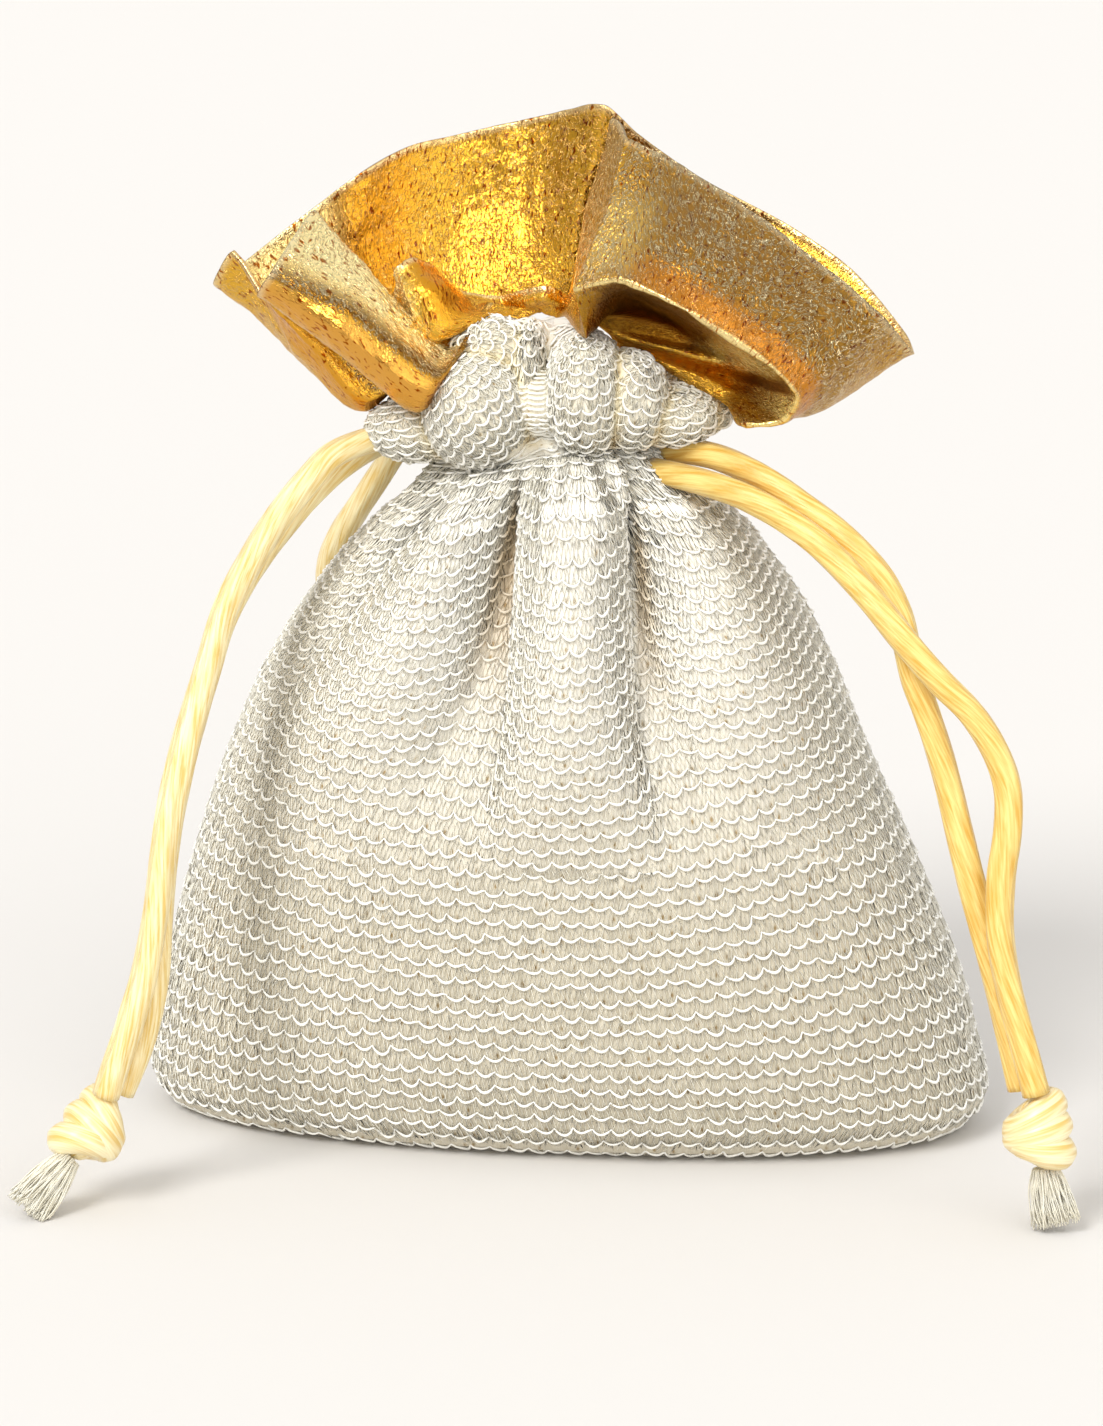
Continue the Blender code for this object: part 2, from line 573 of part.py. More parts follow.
def knot(name, frame, lean, collection, helpers):
    """Overhand knot: two fat wraps crossed over a core."""
    core = bmesh.new()
    bmesh.ops.create_uvsphere(core, u_segments=12, v_segments=7, radius=KNOT_RADIUS * MM)
    bmesh.ops.scale(core, vec=(1, 1, KNOT_STRETCH), verts=core.verts)
    piece = add_object(name, finished(core, name), "cord", collection)
    piece.matrix_world = frame
    for number, (tip, rise) in enumerate(((lean, KNOT_WRAP_RISE), (-lean, -KNOT_WRAP_RISE)), 1):
        bpy.ops.mesh.primitive_torus_add(
            major_segments=14, minor_segments=7,
            major_radius=KNOT_RADIUS * MM, minor_radius=KNOT_WRAP_RADIUS * MM,
        )
        wrap = bpy.context.object
        wrap.name = f"{name}_wrap_{number}"
        local = Matrix.Translation((0, 0, rise * MM)) @ Matrix.Rotation(math.radians(tip), 4, "Y")
        wrap.matrix_world = frame @ local
        for holder in list(wrap.users_collection):
            holder.objects.unlink(wrap)
        helpers.objects.link(wrap)
        wrap.hide_render = True
        wrap.display_type = "WIRE"
        joined = piece.modifiers.new(f"wrap_{number}", "BOOLEAN")
        joined.operation = "UNION"
        joined.object = wrap
    return piece


def tassel(name, knot_centre, end, collection):
    """Frayed ends below a knot: a fan of strands that reaches the ground."""
    end = Vector(end)
    axis = (end - Vector(knot_centre)).normalized()
    start = Vector(knot_centre) + axis * (KNOT_RADIUS * KNOT_STRETCH + KNOT_GAP)
    across = axis.cross(Vector((0, 1, 0))).normalized()
    through = axis.cross(across)
    sides = TASSEL_STRANDS * 2
    rings = []
    for share in (0.0, 0.3, 0.65, 1.0):
        width = (TASSEL_NECK + (TASSEL_WIDTH - TASSEL_NECK) * share**0.8) / 2
        depth = (TASSEL_NECK + (TASSEL_THICKNESS - TASSEL_NECK) * share) / 2
        ring = []
        for i in range(sides):
            angle = math.tau * i / sides
            flute = 1 - 0.14 * (i % 2) * (0.4 + share)
            offset = across * width * math.cos(angle) + through * depth * math.sin(angle)
            point = start.lerp(end, share) + offset * flute
            point.z = max(point.z, FLOOR_GAP)
            ring.append(point)
        rings.append(ring)
    return add_object(name, finished(loft(rings), name), "tassel", collection)


def build():
    clear_scene()
    parts = bpy.data.collections.new("potli_bag")
    helpers = bpy.data.collections.new("knot_wraps")
    bpy.context.scene.collection.children.link(parts)
    bpy.context.scene.collection.children.link(helpers)
    pouch(parts)
    gold_collar(parts)
    strand("drawstring_left_front", LEFT_FRONT_ROUTE, parts)
    strand("drawstring_left_rear", LEFT_REAR_ROUTE, parts)
    strand("drawstring_right_rear", RIGHT_REAR_ROUTE, parts)
    strand("drawstring_right_front", RIGHT_FRONT_ROUTE, parts)
    strand("slack_loop", SLACK_LOOP_ROUTE, parts)
    for side, centre, lean, end in (
        ("left", LEFT_KNOT, LEFT_KNOT_LEAN, LEFT_TASSEL_END),
        ("right", RIGHT_KNOT, RIGHT_KNOT_LEAN, RIGHT_TASSEL_END),
    ):
        knot(f"knot_{side}", knot_frame(centre, end), lean, parts, helpers)
        tassel(f"tassel_{side}", centre, end, parts)


if __name__ == "__main__":
    build()
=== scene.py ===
"""A stuffed potli bag, dressed for the studio round its CAD frame.

The knitted pouch is real yarn: scalloped courses and a fine net over a lining. The collar is a
crumpled metallic sheet, and the drawstrings are satin cord with overhand knots and frayed ends.
Lengths are in millimetres until a mesh is made; the frame is in metres, +Z up, front towards -Y.
"""

import logging
import math
from collections.abc import Callable, Iterable, Iterator
from dataclasses import dataclass, field
from enum import Enum

import bpy
import numpy as np
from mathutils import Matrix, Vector, noise


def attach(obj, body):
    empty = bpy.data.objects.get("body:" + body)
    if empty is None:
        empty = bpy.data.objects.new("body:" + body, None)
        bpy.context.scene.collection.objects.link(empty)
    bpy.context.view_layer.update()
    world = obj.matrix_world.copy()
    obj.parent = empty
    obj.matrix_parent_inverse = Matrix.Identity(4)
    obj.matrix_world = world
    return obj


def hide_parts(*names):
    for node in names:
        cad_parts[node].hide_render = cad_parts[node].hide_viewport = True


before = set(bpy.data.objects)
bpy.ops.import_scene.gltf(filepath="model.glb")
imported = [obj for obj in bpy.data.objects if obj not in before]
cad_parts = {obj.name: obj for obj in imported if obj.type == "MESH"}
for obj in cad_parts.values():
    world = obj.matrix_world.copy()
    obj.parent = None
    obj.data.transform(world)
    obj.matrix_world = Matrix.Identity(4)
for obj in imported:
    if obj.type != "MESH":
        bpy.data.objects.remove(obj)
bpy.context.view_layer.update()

MM = 0.001
ROOT = "root"
PHOTO_HEIGHT_PX = 1426
WHITE = np.ones(3)
Surface = Callable[[np.ndarray, np.ndarray], np.ndarray]
Socket = bpy.types.NodeSocket

log = logging.getLogger("potli_bag")


class Slot(Enum):
    """Material slots of the part's record."""

    KNIT = "knit"
    SHEET = "metallic_sheet"
    CORD = "satin_cord"
    FRAYED = "frayed_cord"


class Side(Enum):
    """The two drawstring ends."""

    LEFT = "left"
    RIGHT = "right"


def linear(red: float, green: float, blue: float) -> tuple:
    """Linear colour of an sRGB colour given from 0 to 255."""
    values = (np.array((red, green, blue)) / 255.0 + 0.055) / 1.055
    return tuple(float(v) for v in values**2.4)


def unit(vectors: np.ndarray) -> np.ndarray:
    """Vectors scaled to length 1."""
    return vectors / np.maximum(np.linalg.norm(vectors, axis=-1, keepdims=True), 1e-12)


def smoothstep(low: float, high: float, at: np.ndarray) -> np.ndarray:
    """0 below `low`, 1 above `high`, and an easy curve between."""
    t = np.clip((at - low) / (high - low), 0, 1)
    return t * t * (3 - 2 * t)


def running_length(points: np.ndarray) -> np.ndarray:
    """Length run along a chain of points up to each of them."""
    return np.concatenate([[0], np.cumsum(np.linalg.norm(np.diff(points, axis=0), axis=1))])


def grid_faces(rings: int, columns: int, closed: bool = False) -> np.ndarray:
    """Four-cornered faces between rings of points.

    Args:
        rings: how many rings follow each other.
        columns: points in each ring.
        closed: whether the last ring joins the first.

    Returns:
        (faces, 4) indices of points, counted ring by ring.
    """
    i = np.arange(rings if closed else rings - 1)[:, None]
    j = np.arange(columns)[None, :]
    after, beside = (i + 1) % rings, (j + 1) % columns
    return np.stack([i * columns + j, i * columns + beside, after * columns + beside,
                     after * columns + j], axis=-1).reshape(-1, 4)


def fan_faces(first: int, columns: int, tip: int, outwards: bool) -> np.ndarray:
    """Three-cornered faces that close a ring of points at a tip.

    Args:
        first: index of the ring's first point.
        columns: points in the ring.
        tip: index of the tip.
        outwards: whether the faces turn the way the ring does.

    Returns:
        (faces, 3) indices of points.
    """
    a, b = first + np.arange(columns), first + (np.arange(columns) + 1) % columns
    ends = (a, b) if outwards else (b, a)
    return np.stack([*ends, np.full(columns, tip)], axis=1)


@dataclass(frozen=True)
class Spline:
    """Catmull-Rom curve through rows of (position, value, ...)."""

    stations: tuple

    def __call__(self, at: np.ndarray) -> np.ndarray:
        """Values at each position.

        Args:
            at: positions, of any shape.

        Returns:
            An array with one more axis, of the values.
        """
        table = np.array(self.stations, float)
        last = len(table) - 1
        at = np.asarray(at, float)
        row = np.clip(np.searchsorted(table[1:, 0], at, side="left"), 0, last - 1)
        a, b = table[np.maximum(row - 1, 0), 1:], table[row, 1:]
        c, d = table[row + 1, 1:], table[np.minimum(row + 2, last), 1:]
        t = np.clip((at - table[row, 0]) / (table[row + 1, 0] - table[row, 0]), 0, 1)[..., None]
        return 0.5 * (2 * b + (c - a) * t + (2 * a - 5 * b + 4 * c - d) * t**2
                      + (3 * b - a - 3 * c + d) * t**3)


def smooth_route(points: tuple, count: int) -> np.ndarray:
    """Evenly spaced points along a Catmull-Rom curve.

    Args:
        points: the route's points, in millimetres.
        count: how many points to return.

    Returns:
        An array of (count, 3) points.
    """
    rows = tuple((float(i), *point) for i, point in enumerate(points))
    dense = Spline(rows)(np.linspace(0, len(points) - 1, 60 * len(points)))
    run = running_length(dense)
    at = np.linspace(0, run[-1], count)
    return np.stack([np.interp(at, run, dense[:, axis]) for axis in range(3)], axis=1)


def route_length(points: np.ndarray) -> float:
    """Length along a chain of points."""
    return float(np.linalg.norm(np.diff(points, axis=0), axis=1).sum())


def carried_normals(points: np.ndarray, start: tuple = (0.0, 0.0, 1.0)) -> np.ndarray:
    """Normals carried along a chain of points without twist.

    Args:
        points: the chain, (n, 3).
        start: direction that the first normal leans to.

    Returns:
        An array of (n, 3) unit normals, each square to the chain.
    """
    tangents = unit(np.gradient(points, axis=0))
    normal = np.array(start, float)
    found = []
    for tangent in tangents:
        normal = normal - tangent * normal.dot(tangent)
        normal = normal / max(np.linalg.norm(normal), 1e-9)
        found.append(normal)
    return np.array(found)


def add_mesh(name: str, points: np.ndarray, faces: list, uv: np.ndarray = None,
             tint: np.ndarray = None) -> bpy.types.Object:
    """A smooth-shaded mesh object from arrays.

    Args:
        name: name of the piece.
        points: (n, 3) points in millimetres.
        faces: arrays of faces, each (m, corners).
        uv: a UV pair for each point.
        tint: a colour for each point, which its material multiplies in, and for the foil
            a fourth value, how pebbled it is.

    Returns:
        The object, linked to the scene.
    """
    mesh = bpy.data.meshes.new(name)
    mesh.vertices.add(len(points))
    mesh.vertices.foreach_set("co", (points * MM).astype(np.float32).ravel())
    corners = np.concatenate([block.ravel() for block in faces]).astype(np.int32)
    sizes = np.concatenate([np.full(len(block), block.shape[1]) for block in faces])
    starts = np.concatenate([[0], np.cumsum(sizes)[:-1]]).astype(np.int32)
    mesh.loops.add(len(corners))
    mesh.loops.foreach_set("vertex_index", corners)
    mesh.polygons.add(len(sizes))
    mesh.polygons.foreach_set("loop_start", starts)
    mesh.update(calc_edges=True)
    if uv is not None:
        layer = mesh.uv_layers.new(name="UVMap")
        layer.data.foreach_set("uv", uv[corners].astype(np.float32).ravel())
    if tint is not None:
        rgba = np.ones((len(tint), 4), np.float32)
        rgba[:, :tint.shape[1]] = tint
        layer = mesh.color_attributes.new(name="tint", type="FLOAT_COLOR", domain="POINT")
        layer.data.foreach_set("color", rgba.ravel())
    mesh.shade_smooth()
    piece = bpy.data.objects.new(name, mesh)
    bpy.context.scene.collection.objects.link(piece)
    return piece


@dataclass
class Tubes:
    """Collects tubes along many paths into one mesh."""

    sides: int
    points: list = field(default_factory=list)
    faces: list = field(default_factory=list)
    uv: list = field(default_factory=list)
    tint: list = field(default_factory=list)
    total: int = 0

    def add(self, path: np.ndarray, normals: np.ndarray, radius: np.ndarray, tint: np.ndarray,
            closed: bool = False, capped: bool = False) -> None:
        """Adds one tube.

        Args:
            path: (n, 3) points of its middle line.
            normals: a direction across the path at each point.
            radius: radius at each point, or (n, sides) radii round it.
            tint: one colour, or a colour at each point.
            closed: joins the last point to the first.
            capped: closes both ends with a fan.
        """
        count = len(path)
        if closed:
            tangents = unit(np.roll(path, -1, axis=0) - np.roll(path, 1, axis=0))
        else:
            tangents = unit(np.gradient(path, axis=0))
        across = unit(np.cross(tangents, normals))
        up = unit(np.cross(across, tangents))
        turn = math.tau * np.arange(self.sides) / self.sides
        radius = np.broadcast_to(np.reshape(radius, (-1, 1)) if np.ndim(radius) < 2 else radius,
                                 (count, self.sides))
        ring = (np.cos(turn)[None, :, None] * up[:, None] + np.sin(turn)[None, :, None]
                * across[:, None]) * radius[..., None] + path[:, None]
        self.faces.append(grid_faces(count, self.sides, closed) + self.total)
        run = running_length(path)
        around = np.broadcast_to(np.arange(self.sides) / self.sides, (count, self.sides))
        along = np.broadcast_to(run[:, None], (count, self.sides))
        colours = np.broadcast_to(np.reshape(tint, (-1, 1, 3)), (count, self.sides, 3))
        self.points.append(ring.reshape(-1, 3))
        self.uv.append(np.stack([around, along], axis=-1).reshape(-1, 2))
        self.tint.append(colours.reshape(-1, 3))
        start = self.total
        self.total += count * self.sides
        if capped:
            for tip, first, outwards in ((path[0], start, False),
                                         (path[-1], start + (count - 1) * self.sides, True)):
                self.points.append(tip[None])
                self.uv.append(np.zeros((1, 2)))
                self.tint.append(colours[0, :1])
                self.faces.append(fan_faces(first, self.sides, self.total, outwards))
                self.total += 1

    def piece(self, name: str) -> bpy.types.Object:
        """The mesh object of all the tubes so far."""
        order = sorted(self.faces, key=lambda block: -block.shape[1])
        return add_mesh(name, np.concatenate(self.points), order, np.concatenate(self.uv),
                        np.concatenate(self.tint))


class Shader:
    """One Principled material and the nodes in front of it."""

    def __init__(self, name: str) -> None:
        """Makes the material.

        Args:
            name: name of the material.
        """
        self.material = bpy.data.materials.new(name)
        self.material.use_nodes = True
        self.tree = self.material.node_tree
        self.surface = self.tree.nodes["Principled BSDF"]

    def node(self, kind: str, **settings: object) -> bpy.types.Node:
        """A new node.

        Args:
            kind: its Blender type, without the ShaderNode prefix.
            settings: properties to set on it.

        Returns:
            The node.
        """
        made = self.tree.nodes.new(f"ShaderNode{kind}")
        for name, value in settings.items():
            setattr(made, name, value)
        return made

    def link(self, source: Socket, target: Socket) -> None:
        """Joins two sockets."""
        self.tree.links.new(source, target)

    def set(self, **values: float) -> None:
        """Sets uniform values on the shader's own sockets."""
        for name, value in values.items():
            self.surface.inputs[name.replace("_", " ")].default_value = value

    def mapped(self, across: float, along: float) -> Socket:
        """The mesh's own texture coordinates, scaled."""
        coordinates = self.node("TexCoord")
        mapping = self.node("Mapping")
        mapping.inputs["Scale"].default_value = (across, along, 1)
        self.link(coordinates.outputs["UV"], mapping.inputs["Vector"])
        return mapping.outputs["Vector"]

    def noise(self, vector: Socket, scale: float, detail: float = 2.0,
              distortion: float = 0.0) -> Socket:
        """Value of a noise texture."""
        made = self.node("TexNoise")
        made.inputs["Scale"].default_value = scale
        made.inputs["Detail"].default_value = detail
        made.inputs["Distortion"].default_value = distortion
        self.link(vector, made.inputs["Vector"])
        return made.outputs["Fac"]

    def ramp(self, value: Socket, stops: Iterable) -> Socket:
        """Colour of a value through (position, colour) stops."""
        made = self.node("ValToRGB")
        stops = tuple(stops)
        elements = made.color_ramp.elements
        while len(elements) < len(stops):
            elements.new(0.5)
        for element, (position, colour) in zip(elements, stops):
            element.position = position
            element.color = (*colour, 1)
        self.link(value, made.inputs["Fac"])
        return made.outputs["Color"]

    def multiply(self, first: Socket, second: Socket) -> Socket:
        """Product of two colours."""
        mix = self.node("Mix", data_type="RGBA", blend_type="MULTIPLY")
        mix.inputs["Factor"].default_value = 1
        self.link(first, mix.inputs["A"])
        self.link(second, mix.inputs["B"])
        return mix.outputs["Result"]

    def blend(self, factor: Socket, first: Socket, second: Socket) -> Socket:
        """The first colour where the factor is 0, and the second where it is 1."""
        mix = self.node("Mix", data_type="RGBA")
        self.link(factor, mix.inputs["Factor"])
        self.link(first, mix.inputs["A"])
        self.link(second, mix.inputs["B"])
        return mix.outputs["Result"]

    def math(self, operation: str, first: Socket, second: Socket) -> Socket:
        """Result of a sum on two values."""
        made = self.node("Math", operation=operation)
        self.link(first, made.inputs[0])
        self.link(second, made.inputs[1])
        return made.outputs["Value"]

    def colour(self, value: tuple) -> Socket:
        """A colour of its own, to blend in."""
        made = self.node("RGB")
        made.outputs["Color"].default_value = (*value, 1)
        return made.outputs["Color"]

    def tint(self) -> Socket:
        """The colour that the mesh carries."""
        return self.node("VertexColor", layer_name="tint").outputs["Color"]

    def bump(self, height: Socket, strength: float, distance_mm: float,
             before: Socket = None) -> Socket:
        """A bump, after another one if given."""
        made = self.node("Bump")
        made.inputs["Strength"].default_value = strength
        made.inputs["Distance"].default_value = distance_mm * MM
        self.link(height, made.inputs["Height"])
        if before is not None:
            self.link(before, made.inputs["Normal"])
        return made.outputs["Normal"]


@dataclass(frozen=True)
class YarnFinish:
    """White satin yarn with fine filaments along it."""

    light: tuple = linear(255, 255, 251)
    shade: tuple = linear(247, 242, 228)
    roughness: float = 0.42
    filaments: tuple = (9.0, 1.4)

    def material(self, name: str) -> bpy.types.Material:
        """Makes the yarn's material."""
        shader = Shader(name)
        along = shader.noise(shader.mapped(*self.filaments), 3, 3)
        colour = shader.ramp(along, ((0.30, self.shade), (0.62, self.light)))
        shader.link(shader.multiply(colour, shader.tint()), shader.surface.inputs["Base Color"])
        shader.set(Roughness=self.roughness, Sheen_Weight=0.15, Sheen_Roughness=0.4)
        shader.link(shader.bump(along, 0.2, 0.02), shader.surface.inputs["Normal"])
        return shader.material


@dataclass(frozen=True)
class LiningFinish:
    """Beige lining seen through the net, with painted shade in small holes and fine fibres."""

    cloth: tuple = linear(241, 236, 222)
    fibre: tuple = linear(253, 250, 242)
    hole_shade: tuple = linear(186, 164, 126)
    hole_shade_rim: tuple = (0.88, 0.85, 0.80)
    roughness: float = 0.8
    cells: tuple = (2.0, 1.0)
    fibres: tuple = (11.0, 1.6)
    disorder: float = 0.45

    def material(self, name: str) -> bpy.types.Material:
        """Makes the lining's material. Its UVs count scallops across and courses up."""
        shader = Shader(name)
        cells = shader.node("TexVoronoi", feature="F1")
        cells.inputs["Scale"].default_value = 1
        cells.inputs["Randomness"].default_value = self.disorder
        shader.link(shader.mapped(*self.cells), cells.inputs["Vector"])
        # Painted shade: small dark holes in the cloth, each with a darker rim
        painted_hole_shade = shader.ramp(cells.outputs["Distance"], (
            (0.08, self.hole_shade), (0.20, self.hole_shade_rim), (0.32, (1, 1, 1))))
        fibres = shader.noise(shader.mapped(*self.fibres), 1, 4, 0.4)
        cloth = shader.ramp(fibres, ((0.36, self.cloth), (0.62, self.fibre)))
        colour = shader.multiply(shader.multiply(cloth, painted_hole_shade), shader.tint())
        shader.link(colour, shader.surface.inputs["Base Color"])
        shader.set(Roughness=self.roughness, Sheen_Weight=0.1)
        relief = shader.bump(fibres, 0.5, 0.15)
        shader.link(shader.bump(cells.outputs["Distance"], 0.5, 0.2, relief),
                    shader.surface.inputs["Normal"])
        return shader.material


@dataclass(frozen=True)
class FoilFinish:
    """Gold coated cloth: fine crinkles with painted shade in dark pits, and pebbles with painted
    glints where the mesh asks for them.
    """

    # Painted shade for the pits and painted glints for the raised pebbles
    pit_shade: tuple = linear(176, 112, 26)
    painted_glint: tuple = linear(255, 240, 196)
    roughness: float = 0.22
    grain_mm: float = 0.68
    streaks: tuple = (1.5, 0.6)
    cells: tuple = (0.95, 0.8)
    pits_from: tuple = (0.59, 0.66)
    worms_from: tuple = (0.45, 0.50, 0.55)

    def material(self, name: str) -> bpy.types.Material:
        """Makes the foil's material. Its UVs are millimetres across and along the sheet."""
        shader = Shader(name)
        grain = 1 / self.grain_mm
        carried = shader.node("VertexColor", layer_name="tint")
        gold, pebbled = carried.outputs["Color"], carried.outputs["Alpha"]
        streaks = shader.noise(shader.mapped(*(n * grain for n in self.streaks)), 1, 2.5, 0.5)
        cells = shader.noise(shader.mapped(*(n * grain for n in self.cells)), 1, 3, 0.9)
        black, white = (0.0, 0.0, 0.0), (1.0, 1.0, 1.0)
        pits = shader.ramp(streaks, zip(self.pits_from, (black, white)))
        worms = shader.ramp(cells, zip(self.worms_from, (black, white, black)))
        raised = shader.math("MULTIPLY", worms, pebbled)
        # Painted shade in the pits, then painted glints on the raised pebbles
        colour = shader.blend(pits, gold, shader.multiply(gold, shader.colour(self.pit_shade)))
        colour = shader.blend(raised, colour, shader.colour(self.painted_glint))
        shader.link(colour, shader.surface.inputs["Base Color"])
        shader.set(Metallic=1.0, Roughness=self.roughness)
        pebbles = shader.math("ADD", raised, shader.math("MULTIPLY", cells, pebbled))
        relief = shader.bump(pebbles, 0.8, 0.45, shader.bump(streaks, 0.35, 0.4))
        shader.link(relief, shader.surface.inputs["Normal"])
        return shader.material


@dataclass(frozen=True)
class SatinFinish:
    """Satin cord: pale fibres over a gold ground, drawn out along the cord; the pale streaks are
    partly the fibres' tone and partly painted sheen highlight.
    """

    ground: tuple
    fibre: tuple
    roughness: float = 0.34
    spread: float = 3.0

    def material(self, name: str) -> bpy.types.Material:
        """Makes the satin's material. Its UVs are turns round the cord and millimetres along."""
        shader = Shader(name)
        fibres = shader.noise(shader.mapped(self.spread * 5, 0.09), 2, 4, 0.3)
        hair = shader.noise(shader.mapped(self.spread * 11, 0.2), 3, 2)
        # Pale streaks: partly fibre tone, partly painted sheen highlight
        colour = shader.ramp(fibres, ((0.34, self.ground), (0.64, self.fibre)))
        shader.link(shader.multiply(colour, shader.tint()), shader.surface.inputs["Base Color"])
        shader.set(Roughness=self.roughness, Sheen_Weight=0.25, Sheen_Roughness=0.35,
                   Specular_IOR_Level=0.6)
        relief = shader.bump(fibres, 0.5, 0.25)
        shader.link(shader.bump(hair, 0.45, 0.1, relief), shader.surface.inputs["Normal"])
        return shader.material


# One satin in two copies: the left copy is paler, painted highlight on the left cords
LEFT_SATIN = SatinFinish(ground=linear(226, 190, 102), fibre=linear(252, 238, 190))
RIGHT_SATIN = SatinFinish(ground=linear(218, 168, 64), fibre=linear(244, 216, 132))
KNOTTED_SATIN = SatinFinish(ground=linear(226, 190, 104), fibre=linear(252, 240, 196), spread=2.0)
FRAYED_SATIN = SatinFinish(ground=linear(252, 240, 202), fibre=linear(255, 254, 246), spread=1.5)


def dress(piece: bpy.types.Object, material: bpy.types.Material, slot: Slot) -> bpy.types.Object:
    """Gives a piece its finish, and lets it ride with the bag.

    Args:
        piece: the piece.
        material: its material.
        slot: the record's slot it belongs to; not used.

    Returns:
        The same piece.
    """
    piece.data.materials.clear()
    piece.data.materials.append(material)
    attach(piece, ROOT)
    triangles = sum(len(face.vertices) - 2 for face in piece.data.polygons)
    log.info("%s: %d triangles", piece.name, triangles)
    return piece


@dataclass(frozen=True)
class Ridge:
    """A ridge of cloth under the gather: (height, x, half-width, crest) down it, and how round
    its flanks are, from 0.4 for a tube to 1 for a soft slope."""

    path: tuple
    roundness: float

    def relief(self, x: np.ndarray, height: np.ndarray, floor: np.ndarray) -> np.ndarray:
        """How far the ridge stands out at each point, above the valleys' floor."""
        rows = tuple((-row[0], *row[1:]) for row in self.path)
        found = Spline(rows)(-np.minimum(height, self.path[0][0]))
        flank = np.maximum(1 - ((x - found[..., 0]) / found[..., 1]) ** 2, 0) ** self.roundness
        return floor + (found[..., 2] - floor) * flank


@dataclass(frozen=True)
class Lobe:
    """A puffed lobe of the ruffle: (x, y, height above the neck) of its middle, its half sizes
    outwards, along the ruffle and up, the direction it faces in degrees from the front, the
    (out, along, up) direction that its rounds of yarn are centred on, and how wide its scallops
    and net open."""

    centre: tuple
    sizes: tuple
    facing: float
    pole: tuple = (0.25, 0.0, 1.0)
    openness: float = 1.0

    def axes(self) -> np.ndarray:
        """Unit axes outwards, along and up, one in each row."""
        turn = math.radians(self.facing)
        return np.array([(math.sin(turn), -math.cos(turn), 0),
                         (math.cos(turn), math.sin(turn), 0), (0, 0, 1)])

    def local(self, vectors: np.ndarray) -> np.ndarray:
        """Vectors as shares of the half sizes."""
        return vectors @ self.axes().T / np.array(self.sizes)

    def reach(self, start: np.ndarray, direction: np.ndarray) -> np.ndarray:
        """How far rays run before they leave the lobe, or 0 where they miss it.

        Args:
            start: first points of the rays, from the neck's own height.
            direction: unit directions of the rays.

        Returns:
            The lengths in millimetres.
        """
        place, step = self.local(start - np.array(self.centre)), self.local(direction)
        half, square = (place * step).sum(axis=-1), (step**2).sum(axis=-1)
        inside = half**2 - square * ((place**2).sum(axis=-1) - 1)
        far = (np.sqrt(np.maximum(inside, 0)) - half) / square
        return np.where(inside > 0, np.maximum(far, 0), 0)


